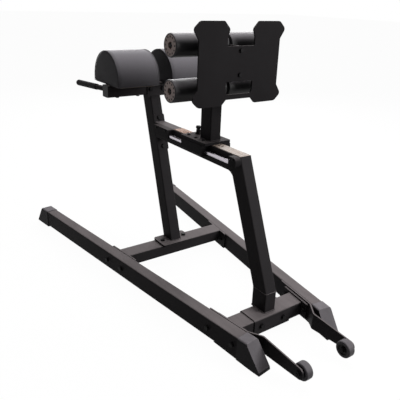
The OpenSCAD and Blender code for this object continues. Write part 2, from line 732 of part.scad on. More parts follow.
module rear_saddle() color(black) difference() {
    skirt = 2 * (tube_corner + saddle_thickness);
    union() {
        translate([rear_beam_x, 0, rear_beam_bottom]) across(saddle_length) difference() {
            rounded_box([-beam_width / 2 - saddle_thickness, -skirt],
                        [beam_width / 2 + saddle_thickness, rear_beam_height + saddle_thickness],
                        tube_corner + saddle_thickness);
            rounded_box([-beam_width / 2, -2 * skirt], [beam_width / 2, rear_beam_height], tube_corner);
            translate([-beam_width, -2 * skirt]) square([2 * beam_width, 2 * skirt]);
        }
        translate([stub_x, 0, saddle_top]) linear_extrude(stub_height) tube_section(
            [0, -mast_width / 2], [rear_depth, mast_width / 2], mast_wall, mast_corner);
    }
    for (side = SIDES) translate([rear_beam_x - FAR / 2, side * saddle_bolt_spacing / 2, saddle_bolt_z])
        rotate([0, 90, 0]) cylinder(r = bolt_hole, h = FAR);
}

// Leaning tube with its rear face's foot at the station x and height z, cut to a side outline
module leaning_tube(x, z, lean, outline) intersection() {
    translate([x, 0, z]) rotate([0, lean, 0]) translate([0, 0, -FAR / 2]) linear_extrude(FAR)
        tube_section([0, -mast_width / 2], [mast_depth, mast_width / 2], mast_wall, mast_corner);
    across(2 * mast_width) polygon(outline);
}
module rear_upright() color(black) {
    leaning_tube(stub_x, stub_top, rear_lean, [
        [stub_x - 10, stub_top], [stub_x + rear_depth + 10, stub_top],
        [corner_low_x, slide_bottom], [corner_top_x, slide_height]]);
    foot = slide_bottom - gusset_leg * 0.8;
    across(mast_width - 2 * mast_corner) polygon([
        [corner_low_x, slide_bottom], [corner_low_x + gusset_leg, slide_bottom],
        [corner_low_x + gusset_leg * 0.45, slide_bottom - gusset_leg * 0.15],
        [rear_face(foot) + rear_depth + 1, foot + 2],
        [rear_face(foot) + rear_depth, foot],
        [rear_face(foot) + rear_depth - 1, foot],
        [corner_low_x - 1, slide_bottom - 1]]);
}

module slide_tube() color(black) difference() {
    union() {
        intersection() {
            translate([0, 0, slide_bottom]) translate([-FAR / 2, 0, 0]) along(FAR) tube_section(
                [-mast_width / 2, 0], [mast_width / 2, mast_depth], mast_wall, mast_corner);
            across(2 * mast_width) polygon([
                [corner_low_x, slide_bottom], [corner_top_x, slide_height],
                [front_face(slide_height) - tube_flange_run / 2, slide_height],
                [front_face(slide_bottom) - tube_flange_run / 2, slide_bottom]]);
        }
        on_front_face(slide_bottom - tube_flange_down) translate([-tube_flange_thickness, 0, 0])
            along(tube_flange_thickness) rounded_box(
                [-mast_width / 2, 0], [mast_width / 2, tube_flange_length], 8);
    }
    for (z = tube_flange_bolts()) on_front_face(slide_bottom - tube_flange_down)
        translate([-FAR / 2, 0, z]) rotate([0, 90, 0]) cylinder(r = bolt_hole, h = FAR);
    for (k = [-holes_behind:holes_ahead]) translate([pin_x + k * pin_pitch, 0, slide_height - mast_wall - 1])
        cylinder(r = pin_hole, h = mast_wall + 2);
}
tube_flange_length = (mast_depth + tube_flange_up + tube_flange_down) / cos(front_lean);
function tube_flange_bolts() = [tube_flange_inset, tube_flange_length - tube_flange_inset];
// Frame on the front upright's rear face at height z: x into the upright, z up along it
module on_front_face(z) translate([front_face(z), 0, z]) rotate([0, front_lean, 0]) children();

module scale_strip() color(tan_strip) difference() {
    translate([strip_x, -strip_width / 2, slide_height]) cube([strip_length, strip_width, strip_thickness]);
    for (k = [-holes_behind:holes_ahead]) translate([pin_x + k * pin_pitch, 0, slide_height - 1])
        cylinder(r = pin_hole, h = strip_thickness + 2);
}

module front_upright() color(black) difference() {
    union() {
        leaning_tube(front_face(base_top), base_top, front_lean, [
            [front_face(base_top) - 10, base_top - 1],
            [front_face(base_top) + front_depth + 10, base_top - 1],
            [front_face(upright_top) + front_depth + 10, upright_top],
            [front_face(upright_top) - 10, upright_top]]);
        translate([front_face(base_top), 0, rail_top]) linear_extrude(base_plate_thickness)
            rounded_box([-base_plate_lead, -base_plate_length / 2],
                                [front_depth + base_plate_trail, base_plate_length / 2], 12);
    }
    for (side = SIDES) translate([front_beam_x, side * base_bolt_spacing / 2, rail_top - 1])
        cylinder(r = bolt_hole, h = base_plate_thickness + 2);
    for (z = tube_flange_bolts()) on_front_face(slide_bottom - tube_flange_down)
        translate([-FAR / 2, 0, z]) rotate([0, 90, 0]) cylinder(r = bolt_hole, h = FAR);
}

module frame_bolts() color(zinc) {
    for (side = SIDES) {
        translate([rear_beam_x + beam_width / 2 + saddle_thickness, side * saddle_bolt_spacing / 2,
                   saddle_bolt_z])
            rotate([0, -90, 0]) through_bolt(frame_bolt, beam_width + 2 * saddle_thickness);
        translate([front_beam_x, side * base_bolt_spacing / 2, front_beam_bottom])
            through_bolt(frame_bolt, front_beam_height + base_plate_thickness);
        translate([bar_rear_x + bar_size, side * bar_bolt_spacing / 2, bar_middle_z])
            rotate([0, -90, 0]) through_bolt(frame_bolt, bar_size + bar_bracket_thickness);
    }
    for (z = tube_flange_bolts()) on_front_face(slide_bottom - tube_flange_down)
        translate([mast_depth, 0, z]) rotate([0, -90, 0])
            through_bolt(frame_bolt, mast_depth + tube_flange_thickness);
}

// Slide

rod_seat = 20;
module guide_rod() color(steel) translate([rear_block_front - rod_seat, rod_offset, rod_z])
    rotate([0, 90, 0]) cylinder(d = rod_diameter, h = front_block_x - rear_block_front + 2 * rod_seat);

// Block beside the slide tube from station x to station x + length, with a blind seat for the rod
module rod_block(x, length, radii, screws) difference() {
    translate([0, mast_width / 2 + rod_block_width / 2, rod_block_bottom]) across(rod_block_width)
        polygon(rounded([[x, 0], [x + length, 0], [x + length, rod_block_height], [x, rod_block_height]],
                        radii));
    guide_rod();
    for (s = screws) translate([s, mast_width / 2 - 1, block_screw_z]) rotate([-90, 0, 0])
        cylinder(d = screw_size, h = rod_block_width + 2);
}
screw_size = small_bolt * 0.75;
rear_screw_x = rear_block_x + 17;
front_screws_x = [front_block_x + 24, front_block_front - 24];

module rear_rod_block() color(soft_black)
    rod_block(rear_block_x, rear_block_length, [17, 3, 3, 17], [rear_screw_x]);
module front_rod_block() color(soft_black)
    rod_block(front_block_x, front_block_length, [3, 8, 8, 3], front_screws_x);
module rod_block_screws() color(zinc) for (x = concat([rear_screw_x], front_screws_x))
    translate([x, mast_width / 2 + rod_block_width, block_screw_z]) rotate([-90, 0, 0])
        button_screw(screw_size, rod_block_width);

// Carriage

carriage_screws_x = [for (k = [-1:1]) bearing_x + bearing_length / 2 + k * carriage_screw_pitch];

module carriage_plate() color(soft_black) difference() {
    translate([plate_x, 0, plate_z]) linear_extrude(carriage_thickness) rounded_box(
        [0, -carriage_width / 2], [carriage_length, carriage_width / 2], 5);
    translate([pin_x, 0, plate_z - 1]) cylinder(r = barrel_radius, h = carriage_thickness + 2);
    for (side = SIDES, x = carriage_screws_x) translate([x, side * rod_offset, plate_z - 1])
        cylinder(r = screw_hole, h = carriage_thickness + 2);
}

// Block beside the slide tube, screwed to the underside of the top plate
module side_block(x) difference() {
    translate([x, bearing_y, plate_z - bearing_height]) along(bearing_x + bearing_length - x)
        polygon(rounded(
            [[0, 0], [bearing_width, 0], [bearing_width, bearing_height], [0, bearing_height]],
            [2, 6, 6, 0]));
    for (x = carriage_screws_x) translate([x, rod_offset, plate_top - carriage_screw_length])
        cylinder(d = small_bolt, h = bearing_height);
}
// The left block runs on the guide rod, and the right one is plain and reaches the plate's rear edge
module side_blocks() color(soft_black) {
    difference() {
        side_block(bearing_x);
        translate([bearing_x - 1, rod_offset, rod_z]) rotate([0, 90, 0])
            cylinder(r = bush_outer, h = bearing_length + 2);
    }
    sided(RIGHT) side_block(plate_x);
}

module guide_bushes() color([0.3, 0.3, 0.3]) for (x = [bearing_x, bearing_x + bearing_length - bush_length])
    translate([x, rod_offset, rod_z]) rotate([0, 90, 0])
        ring(bush_outer, rod_diameter / 2 + running_clearance, bush_length);

carriage_screw_length = plate_top - rod_z - bush_outer - 4;
module carriage_screws() color(zinc) for (side = SIDES, x = carriage_screws_x)
    translate([x, side * rod_offset, plate_top]) button_screw(small_bolt, carriage_screw_length);

// Tube with a hollow in its rear face, closed by a bent plate, that clears the lower rollers
module post() color(soft_black) {
    hollow = roller_diameter / 2 + post_relief;
    difference() {
        post_outline(post_top - plate_top) tube_section(
            [0, -post_width / 2], [post_depth, post_width / 2], mast_wall, mast_corner);
        on_axle(LEFT, lower_axis_z) translate([0, 0, -post_width])
            cylinder(r = hollow + mast_wall / 2, h = 2 * post_width);
    }
    intersection() {
        post_outline(post_top - plate_top) rounded_box(
            [0, -post_width / 2], [post_depth, post_width / 2], mast_corner);
        on_axle(LEFT, lower_axis_z) translate([0, 0, -post_width])
            ring(hollow + mast_wall, hollow, 2 * post_width);
    }
}
module post_outline(height) translate([post_x, 0, plate_top]) linear_extrude(height) children();

module post_cap() color(rubber) translate([post_x, 0, post_top]) {
    linear_extrude(post_cap_thickness) rounded_box(
        [0, -post_width / 2], [post_depth, post_width / 2], mast_corner);
    translate([0, 0, -12]) linear_extrude(13) rounded_box(
        [mast_wall + side_gap, -post_width / 2 + mast_wall + side_gap],
        [post_depth - mast_wall - side_gap, post_width / 2 - mast_wall - side_gap], 2);
}

// Pull pin

module pull_pin_barrel() color(soft_black) translate([pin_x, 0, 0]) difference() {
    union() {
        translate([0, 0, plate_z]) cylinder(r = barrel_radius, h = barrel_top - plate_z);
        translate([0, 0, plate_top]) cylinder(r = barrel_radius + 2.5, h = 6, $fn = 6);
    }
    translate([0, 0, plate_z - 1]) cylinder(d = pin_diameter + 2 * running_clearance, h = FAR);
    translate([0, 0, collar_z]) cylinder(r = barrel_bore, h = spring_top - collar_z);
}
module pull_pin() color(steel) translate([pin_x, 0, 0]) {
    translate([0, 0, pin_tip_z]) cylinder(d1 = pin_diameter - 2, d2 = pin_diameter, h = 1);
    translate([0, 0, pin_tip_z + 1]) cylinder(d = pin_diameter, h = knob_z + 6 - pin_tip_z - 1);
    translate([0, 0, collar_z]) cylinder(r = barrel_bore - side_gap, h = collar_height);
}
knob_z = barrel_top + side_gap;
module pull_pin_knob() color(black) translate([pin_x, 0, knob_z]) difference() {
    rotate_extrude() polygon(rounded(
        [[0, 0], [pin_diameter * 0.75, 0], [pin_diameter * 0.75, 4], [knob_diameter / 2, 6.5],
         [knob_diameter / 2, knob_height], [0, knob_height]], [0, 0, 1, 1.5, 4, 0]));
    translate([0, 0, -1]) cylinder(d = pin_diameter, h = 7);
}
// Coil spring between the pin's collar and the top of the barrel
module pull_pin_spring() color(steel) translate([pin_x, 0, 0]) {
    middle = (pin_diameter / 2 + barrel_bore) / 2;
    low = collar_z + collar_height + spring_wire / 2 + 0.05;
    rise = (spring_top - spring_wire / 2 - 0.05 - low) / spring_turns;
    ring_at = function(a) [for (j = [0:5]) let (r = middle + spring_wire / 2 * cos(60 * j))
        [r * cos(a), r * sin(a), low + rise * a / 360 - spring_wire / 2 * sin(60 * j)]];
    centre = function(a) [middle * cos(a), middle * sin(a), low + rise * a / 360];
    skin([for (i = [0:8 * spring_turns]) ring_at(45 * i)], centre(0), centre(360 * spring_turns));
}

// Ankle rollers

// Frame of a roller: z along its axle from the middle of the machine outwards
module on_axle(side, z) translate([axis_x, 0, z]) rotate([-90 * side, 0, 0]) children();

// Back plate for the foot plate, and a web from it to the post with a boss round each axle
module roller_bracket() color(soft_black) difference() {
    low = foot_bolts_middle - back_plate_half;
    union() {
        translate([foot_plate_x, 0, low]) along(back_plate_thickness)
            translate([-back_plate_width / 2, 0]) square([back_plate_width, 2 * back_plate_half]);
        across(web_thickness) {
            translate([foot_plate_x, low]) square([axis_x - foot_plate_x, 2 * back_plate_half]);
            translate([axis_x, low]) square([post_x - axis_x, post_top - low]);
            translate([axis_x - boss_radius, lower_axis_z])
                square([2 * boss_radius, upper_axis_z - lower_axis_z]);
            for (z = AXES_Z) translate([axis_x, z]) circle(r = boss_radius);
        }
    }
    for (z = AXES_Z) translate([axis_x, -FAR / 2, z]) rotate([-90, 0, 0]) cylinder(r = axle_radius, h = FAR);
    for (z = foot_bolts_z) translate([foot_plate_x - 1, 0, z]) rotate([0, 90, 0])
        cylinder(d = small_bolt, h = back_plate_thickness + 1);
}
foot_bolts_z = [for (end = [-1, 1]) foot_bolts_middle + end * foot_bolt_spacing / 2];

module roller_axles() color(steel) for (z = AXES_Z) {
    translate([axis_x, -axle_end, z]) rotate([-90, 0, 0]) cylinder(r = axle_radius, h = 2 * axle_end);
    for (side = SIDES) on_axle(side, z) translate([0, 0, web_thickness / 2])
        cylinder(r = axle_radius + 4, h = collar_width);
}

module axle_end_bolts() color(zinc) for (z = AXES_Z, side = SIDES) on_axle(side, z)
    translate([0, 0, axle_end]) {
        cylinder(r = core_diameter / 2 - 4, h = 2);
        translate([0, 0, 2]) cylinder(d = 12, h = 5, $fn = 6);
    }

// Core tube with its end caps and the two bushes that turn on the axle
module roller_core(side, z) color(cap_colour) on_axle(side, z) rotate_extrude() {
    core = core_diameter / 2;
    bore = core - 3;
    bush = axle_radius + running_clearance;
    inner = roller_y + cap_recess;
    outer = roller_end - cap_recess;
    polygon([[bush, inner], [cap_diameter / 2, inner], [cap_diameter / 2, inner + cap_thickness],
             [core, inner + cap_thickness], [core, outer - cap_thickness],
             [cap_diameter / 2, outer - cap_thickness], [cap_diameter / 2, outer],
             [bore, outer], [bore, axle_end - side_gap], [bush, axle_end - side_gap],
             [bush, axle_end - 18], [bore, axle_end - 18], [bore, inner + 18], [bush, inner + 18]]);
}
module upper_left_roller_core() roller_core(LEFT, upper_axis_z);
module upper_right_roller_core() roller_core(RIGHT, upper_axis_z);
module lower_left_roller_core() roller_core(LEFT, lower_axis_z);
module lower_right_roller_core() roller_core(RIGHT, lower_axis_z);

// Foam sleeve with rounded ends and a seat for each end cap
module roller_foam(side, z) color(foam) on_axle(side, z) rotate_extrude() polygon(rounded(
    [[core_diameter / 2, roller_y + cap_recess + cap_thickness],
     [cap_diameter / 2, roller_y + cap_recess + cap_thickness], [cap_diameter / 2, roller_y],
     [roller_diameter / 2, roller_y], [roller_diameter / 2, roller_end], [cap_diameter / 2, roller_end],
     [cap_diameter / 2, roller_end - cap_recess - cap_thickness],
     [core_diameter / 2, roller_end - cap_recess - cap_thickness]],
    [0, 0, 0, 3, 3, 0, 0, 0]));
module upper_left_roller() roller_foam(LEFT, upper_axis_z);
module upper_right_roller() roller_foam(RIGHT, upper_axis_z);
module lower_left_roller() roller_foam(LEFT, lower_axis_z);
module lower_right_roller() roller_foam(RIGHT, lower_axis_z);

// Foot plate

// Corners of the plate's upper left quarter, from the web to the waist, each with its radius
function ear_corners() = let (ear = foot_plate_width / 2, waist = foot_plate_waist / 2,
                              notch = notch_width / 2, web = web_height / 2, top = foot_plate_height / 2) [
    [notch, web, 4], [notch, web + notch_side, 10],
    [notch - notch_undercut, top - undercut_drop, 12], [notch + notch_flare, top, 10],
    [ear - ear_cut_width, top, 20], [ear, top - ear_cut_height, 14], [waist, top - waist_drop, 12]];
// The whole outline goes round the four ears by mirroring the quarter
function ear_turn(list, flip) = flip ? [for (i = [len(list) - 1:-1:0]) list[i]] : list;
function foot_plate_corners() = concat(
    ear_turn([for (c = ear_corners()) [c.x, c.y, c.z]], false),
    ear_turn([for (c = ear_corners()) [c.x, -c.y, c.z]], true),
    ear_turn([for (c = ear_corners()) [-c.x, -c.y, c.z]], false),
    ear_turn([for (c = ear_corners()) [-c.x, c.y, c.z]], true));

module foot_plate() color(soft_black) difference() {
    translate([foot_plate_x - foot_plate_thickness, 0, foot_plate_z]) {
        along(foot_plate_thickness) polygon(rounded(
            [for (c = foot_plate_corners()) [c.x, c.y]], [for (c = foot_plate_corners()) c.z]));
        translate([0, -notch_width / 2 - 10, sill_rise - foot_plate_height / 2])
            cube([foot_plate_thickness, notch_width + 20, sill_height]);
    }
    for (z = foot_bolts_z) translate([foot_plate_x - foot_plate_thickness - 1, 0, z]) rotate([0, 90, 0])
        cylinder(r = screw_hole, h = foot_plate_thickness + 2);
}

module foot_plate_bolts() color(zinc) for (z = foot_bolts_z)
    translate([foot_plate_x - foot_plate_thickness, 0, z]) rotate([0, -90, 0]) {
        translate([0, 0, -foot_plate_thickness - back_plate_thickness])
            cylinder(d = small_bolt, h = foot_plate_thickness + back_plate_thickness + 1);
        cylinder(d = 2 * small_bolt, h = 1.5);
        translate([0, 0, 1.5]) cylinder(d = 1.9 * small_bolt, h = 0.65 * small_bolt, $fn = 6);
    }

// Hip pads

module pad_bar() color(black) difference() {
    translate([bar_rear_x, 0, bar_bottom]) across(bar_length)
        tube_section([0, 0], [bar_size, bar_size], bar_wall, mast_corner);
    for (side = SIDES) {
        translate([bar_rear_x - 1, side * bar_bolt_spacing / 2, bar_middle_z]) rotate([0, 90, 0])
            cylinder(r = bolt_hole, h = bar_size + 2);
        for (y = pad_bolts_y) translate([bar_x, side * y, bar_bottom - 1])
            cylinder(r = screw_hole, h = bar_size + 2);
    }
}
pad_bolts_y = [for (end = [-1, 1]) pad_y + end * pad_length / 4];

module pad_bar_caps() color(rubber) for (side = SIDES) sided(side)
    translate([bar_rear_x, bar_length / 2, bar_bottom]) rotate([90, 0, 0]) {
        translate([0, 0, -2]) linear_extrude(2) rounded_box([0, 0], [bar_size, bar_size], mast_corner);
        inset = bar_wall + side_gap;
        linear_extrude(10) rounded_box([inset, inset], [bar_size - inset, bar_size - inset], 2);
    }

// Angle plate under and behind the pad bar, on top of the front upright
module pad_bar_bracket() color(black) {
    half = bar_bracket_width / 2;
    translate([bar_rear_x - bar_bracket_thickness, 0, upright_top]) difference() {
        union() {
            linear_extrude(bar_bracket_thickness) rounded_box(
                [0, -half], [front_depth + bar_overhang + bar_bracket_thickness + 4, half], 6);
            along(bar_bracket_thickness) difference() {
                rounded_box([-half, -10], [half, bar_size * 0.95], 10);
                translate([-half, -10]) square([2 * half, 10]);
            }
        }
        for (side = SIDES) translate([-1, side * bar_bolt_spacing / 2, bar_middle_z - upright_top])
            rotate([0, 90, 0]) cylinder(r = bolt_hole, h = bar_bracket_thickness + 2);
    }
}

// Outline of a pad across its length, flat at the bottom and round on top
function pad_outline() = concat(
    [for (i = [0:4]) [pad_radius - 8 + 8 * sin(22.5 * i), 8 - 8 * cos(22.5 * i)]],
    [for (i = [0:24]) [pad_radius * cos(7.5 * i), pad_side + pad_radius * sin(7.5 * i)]],
    [for (i = [0:4]) [-pad_radius + 8 - 8 * cos(22.5 * i), 8 - 8 * sin(22.5 * i)]]);
// Outline drawn in to a share of its size about its middle, at the place y across the machine
function pad_ring(share, y) = let (middle = pad_side + pad_radius * 0.3) [for (p = pad_outline())
    [p.x * share, y, max(middle + (p.y - middle) * share, 0)]];
// Places and shares of the rings, from the middle of a pad to its end
function pad_half() = let (half = pad_length / 2 - pad_bulge, edge = 1 - pad_edge / pad_radius) concat(
    [for (i = [0:3]) let (y = (half - pad_edge) * i / 4)
        [y, 1 + pad_crown / pad_radius * (1 - pow(y / (half - pad_edge), 2))]],
    [for (i = [0:4]) [half - pad_edge + pad_edge * sin(22.5 * i),
                      edge + (1 - edge) * cos(22.5 * i)]],
    [for (s = [0.85, 0.6, 0.3]) [half + pad_bulge * (1 - s * s), edge * s]]);

module hip_pad(side) color(vinyl) sided(side) translate([pad_x, pad_y, bar_height]) difference() {
    half = pad_half();
    last = len(half) - 1;
    rings = concat([for (i = [last:-1:1]) pad_ring(half[i][1], -half[i][0])],
                   [for (i = [0:last]) pad_ring(half[i][1], half[i][0])]);
    middle = pad_side + pad_radius * 0.3;
    skin(rings, [0, -pad_length / 2, middle], [0, pad_length / 2, middle]);
    translate([0, 0, -1]) linear_extrude(board_thickness + 1) board_outline();
}
module board_outline() rounded_box(
    [-pad_radius + board_margin, -pad_length / 2 + board_margin],
    [pad_radius - board_margin, pad_length / 2 - board_margin], 10);
module left_hip_pad() hip_pad(LEFT);
module right_hip_pad() hip_pad(RIGHT);

module pad_boards() color(wood) for (side = SIDES) sided(side) translate([pad_x, pad_y, bar_height])
    linear_extrude(board_thickness) difference() {
        board_outline();
        for (y = pad_bolts_y) translate([-pad_lead, y - pad_y]) circle(r = screw_hole);
    }

module pad_bolts() color(zinc) for (side = SIDES, y = pad_bolts_y)
    translate([bar_x, side * y, bar_bottom]) {
        translate([0, 0, -1.5]) cylinder(d = 2 * small_bolt, h = 1.5);
        translate([0, 0, -1.5 - 0.65 * small_bolt])
            cylinder(d = 1.9 * small_bolt, h = 0.65 * small_bolt, $fn = 6);
        translate([0, 0, -1.5]) cylinder(d = small_bolt, h = bar_size + board_thickness + 0.5);
    }

// Handles

// Frame of a handle: z along it from the pad bar's front face to its tip
module on_handle(side) sided(side) translate([bar_rear_x + bar_size, handle_y, handle_z])
    rotate([0, 90, handle_splay]) children();
module handles() color(black) for (side = SIDES) difference() {
    on_handle(side) difference() {
        translate([0, 0, -10]) cylinder(d = handle_diameter, h = handle_length + 6);
        translate([0, 0, -20]) cylinder(d = handle_diameter - 2 * handle_wall, h = handle_length + 40);
    }
    translate([bar_rear_x - FAR + bar_size, -FAR / 2, 0]) cube(FAR);
}
// Rubber grip with a round closed tip
module handle_grips() color(rubber) for (side = SIDES) on_handle(side) {
    grip = handle_diameter / 2 + grip_thickness;
    start = handle_length - grip_length;
    rotate_extrude() polygon(rounded(
        [[handle_diameter / 2, start], [grip, start], [grip, handle_length], [0, handle_length],
         [0, handle_length - 4], [handle_diameter / 2, handle_length - 4]],
        [0, 1, grip * 0.75, 0, 0, 0]));
}

left_rail();
right_rail();
left_front_boot();
right_front_boot();
left_rear_boot();
right_rear_boot();
front_foot_pads();
front_beam();
rear_beam();
beam_flanges();
rail_bolts();
left_wheel_bracket();
right_wheel_bracket();
left_wheel_hub();
right_wheel_hub();
left_wheel_tyre();
right_wheel_tyre();
wheel_axle_bolts();
rear_saddle();
rear_upright();
slide_tube();
scale_strip();
front_upright();
frame_bolts();
guide_rod();
rear_rod_block();
front_rod_block();
rod_block_screws();
carriage_plate();
side_blocks();
guide_bushes();
carriage_screws();
post();
post_cap();
pull_pin_barrel();
pull_pin();
pull_pin_knob();
pull_pin_spring();
roller_bracket();
roller_axles();
axle_end_bolts();
upper_left_roller_core();
upper_right_roller_core();
lower_left_roller_core();
lower_right_roller_core();
upper_left_roller();
upper_right_roller();
lower_left_roller();
lower_right_roller();
foot_plate();
foot_plate_bolts();
pad_bar();
pad_bar_caps();
pad_bar_bracket();
left_hip_pad();
right_hip_pad();
pad_boards();
pad_bolts();
handles();
handle_grips();
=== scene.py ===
# %% [markdown]
# # A glute ham developer, dressed over its construction model
#
# The construction model gives every rigid piece its true size and place. This lesson adds what a
# drawing leaves out: upholstered pads, foam rollers, ribbed grips, weld beads, and a finish for
# each material. Everything is in metres: X points to the hip pads, Y to the left, Z up.

# %% Load the construction model
import json

import bpy
import numpy as np
from mathutils import Euler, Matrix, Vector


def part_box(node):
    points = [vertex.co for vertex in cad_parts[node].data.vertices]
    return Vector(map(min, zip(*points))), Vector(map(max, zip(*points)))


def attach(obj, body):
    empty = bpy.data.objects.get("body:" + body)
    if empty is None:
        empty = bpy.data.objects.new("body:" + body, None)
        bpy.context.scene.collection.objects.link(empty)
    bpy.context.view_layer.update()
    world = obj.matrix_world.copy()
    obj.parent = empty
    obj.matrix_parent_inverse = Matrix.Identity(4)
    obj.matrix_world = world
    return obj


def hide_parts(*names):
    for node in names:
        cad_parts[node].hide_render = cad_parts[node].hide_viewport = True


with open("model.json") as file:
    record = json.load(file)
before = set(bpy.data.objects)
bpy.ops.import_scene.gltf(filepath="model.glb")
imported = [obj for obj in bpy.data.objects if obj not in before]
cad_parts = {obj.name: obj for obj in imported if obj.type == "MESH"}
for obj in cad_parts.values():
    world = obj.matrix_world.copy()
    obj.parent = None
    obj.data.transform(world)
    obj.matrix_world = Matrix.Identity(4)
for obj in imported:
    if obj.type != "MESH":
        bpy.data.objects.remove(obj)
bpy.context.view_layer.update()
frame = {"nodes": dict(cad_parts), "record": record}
NODES = frame["nodes"]

# %% [markdown]
# ## The camera
#
# The camera stands behind the machine's left wheel, a little above the rollers. Its place and its
# turn come from matching the edges of the tubes here with the same edges in the photograph. A
# camera of this kind needs three things: where it is, how it is turned, and its lens.

# %% Place the camera
scene = bpy.context.scene
lens = bpy.data.cameras.new("studio_camera")
lens.sensor_width = 36
lens.lens = 45.30
lens.shift_x = 0.0040
lens.shift_y = -0.0446
lens.clip_end = 60
camera = bpy.data.objects.new("studio_camera", lens)
camera.location = (-1.64501, 1.13579, 1.14958)
camera.rotation_euler = Euler(np.radians([69.747, -1.916, -124.880]), "XYZ")
scene.collection.objects.link(camera)
scene.camera = camera
print("camera:", [round(c, 2) for c in camera.location], "lens", round(lens.lens, 2), "mm")

# %% [markdown]
# ## Shader maths as plain expressions
#
# A finish is a sum of small patterns, and written as nodes that sum is hard to read. The class
# below wraps one number socket. An expression such as `0.4 + grain * 0.1` then adds its own Math
# nodes, so a finish reads as a formula.


# %% Wrap a number socket
class Signal:
    """A number that varies over a surface; arithmetic on it adds Math nodes."""

    def __init__(self, network, socket):
        self.network = network
        self.socket = socket

    def math(self, operation, *others):
        """The operation of this signal and the others, as a new signal."""
        values = {i + 1: other for i, other in enumerate(others)}
        return self.network.node("ShaderNodeMath", {"operation": operation}, {0: self, **values})

    def __add__(self, other):
        return self.math("ADD", other)

    def __mul__(self, other):
        return self.math("MULTIPLY", other)

    def __sub__(self, other):
        return self.math("SUBTRACT", other)

    def __rsub__(self, other):
        return self.network.node("ShaderNodeMath", {"operation": "SUBTRACT"}, {0: other, 1: self})

    __radd__ = __add__
    __rmul__ = __mul__

    def between(self, low, high):
        """0 where the signal is below low, 1 above high, and a smooth step between."""
        return self.network.node(
            "ShaderNodeMapRange", {"interpolation_type": "SMOOTHSTEP", "clamp": True},
            {"Value": self, "From Min": low, "From Max": high})


print("a signal has:", [name for name in vars(Signal) if callable(getattr(Signal, name))])

# %% [markdown]
# A network is the nodes of a material or of the world. `node` is the only method that adds a
# node. It sets the node's options first, because they decide which sockets exist, and then its
# values or links.


# %% Add nodes to a network
class Network:
    """The nodes of a finish or of the world."""

    def __init__(self, tree):
        self.tree = tree

    def node(self, kind, settings=None, inputs=None, output=0):
        """Adds a node, sets its options and sockets, and returns one of its outputs."""
        made = self.tree.nodes.new(kind)
        for option, value in (settings or {}).items():
            setattr(made, option, value)
        for key, value in (inputs or {}).items():
            self.feed(made.inputs[key], value)
        return Signal(self, made.outputs[output])

    def feed(self, socket, value):
        """Links a signal to a socket, or sets the socket to a plain value."""
        if isinstance(value, Signal):
            self.tree.links.new(value.socket, socket)
        else:
            socket.default_value = value

    def finds_white(self):
        """1 on a ray from the camera, off a glossy face or through glass, 0 on all others."""
        found = self.node("ShaderNodeLightPath", output="Is Camera Ray")
        for kind in ("Is Glossy Ray", "Is Transmission Ray"):
            found = found.math("MAXIMUM", self.node("ShaderNodeLightPath", output=kind))
        return found


print("a network has:", [name for name in vars(Network) if callable(getattr(Network, name))])

# %% [markdown]
# A finish is one material: a Principled shader and the network that feeds it. A value that is the
# same all over goes straight on the shader's socket, and a pattern is linked to it.


# %% Make a finish
class Finish(Network):
    """One procedural material."""

    def __init__(self, name, **numbers):
        self.material = bpy.data.materials.new(name)
        self.material.use_nodes = True
        super().__init__(self.material.node_tree)
        self.shader = self.tree.nodes["Principled BSDF"]
        for socket, number in numbers.items():
            self.shader.inputs[socket.replace("_", " ")].default_value = number
        self.place = self.node("ShaderNodeTexCoord", output="Object")

    def noise(self, scale, detail, stretch=(1, 1, 1)):
        """Soft random pattern; scale is in patches for each metre."""
        place = self.node("ShaderNodeMapping", inputs={"Vector": self.place, "Scale": stretch})
        return self.node("ShaderNodeTexNoise", {"noise_dimensions": "3D"},
                         {"Vector": place, "Scale": scale, "Detail": detail})

    def cells(self, scale):
        """Distance to the nearest of many scattered points, as pebbled grain has."""
        return self.node("ShaderNodeTexVoronoi", {"feature": "F1"},
                         {"Vector": self.place, "Scale": scale}, output="Distance")

    def along(self, axis):
        """How far a point lies along an axis, in metres."""
        return self.node("ShaderNodeSeparateXYZ", inputs={0: self.place}, output=axis)

    def facing(self, axis):
        """1 on a surface that faces along an axis, 0 on one square to it, -1 on one against it."""
        normal = self.node("ShaderNodeNewGeometry", output="Normal")
        return self.node("ShaderNodeSeparateXYZ", inputs={0: normal}, output=axis)

    def blend(self, amount, colour_a, colour_b):
        """Colour a where the amount is 0, colour b where it is 1."""
        return self.node("ShaderNodeMix", {"data_type": "RGBA"},
                         {0: amount, 6: colour_a, 7: colour_b}, output=2)

    def colour(self, value):
        """Feeds the base colour."""
        self.feed(self.shader.inputs["Base Color"], value)

    def roughness(self, value):
        """Feeds the roughness."""
        self.feed(self.shader.inputs["Roughness"], value)

    def bump(self, height, depth, strength):
        """Raises the surface by the height signal times a depth in metres."""
        normal = self.node("ShaderNodeBump", inputs={
            "Height": height, "Distance": depth, "Strength": strength})
        self.feed(self.shader.inputs["Normal"], normal)
        return self


def grey(level, warmth=0.0):
    """A grey with a trace of violet; warmth lifts the red and lowers the blue by that share."""
    return (level * (1.02 + warmth), level * 0.96, level * (1.05 - warmth), 1)


print("dark grey:", [round(c, 3) for c in grey(0.02)])
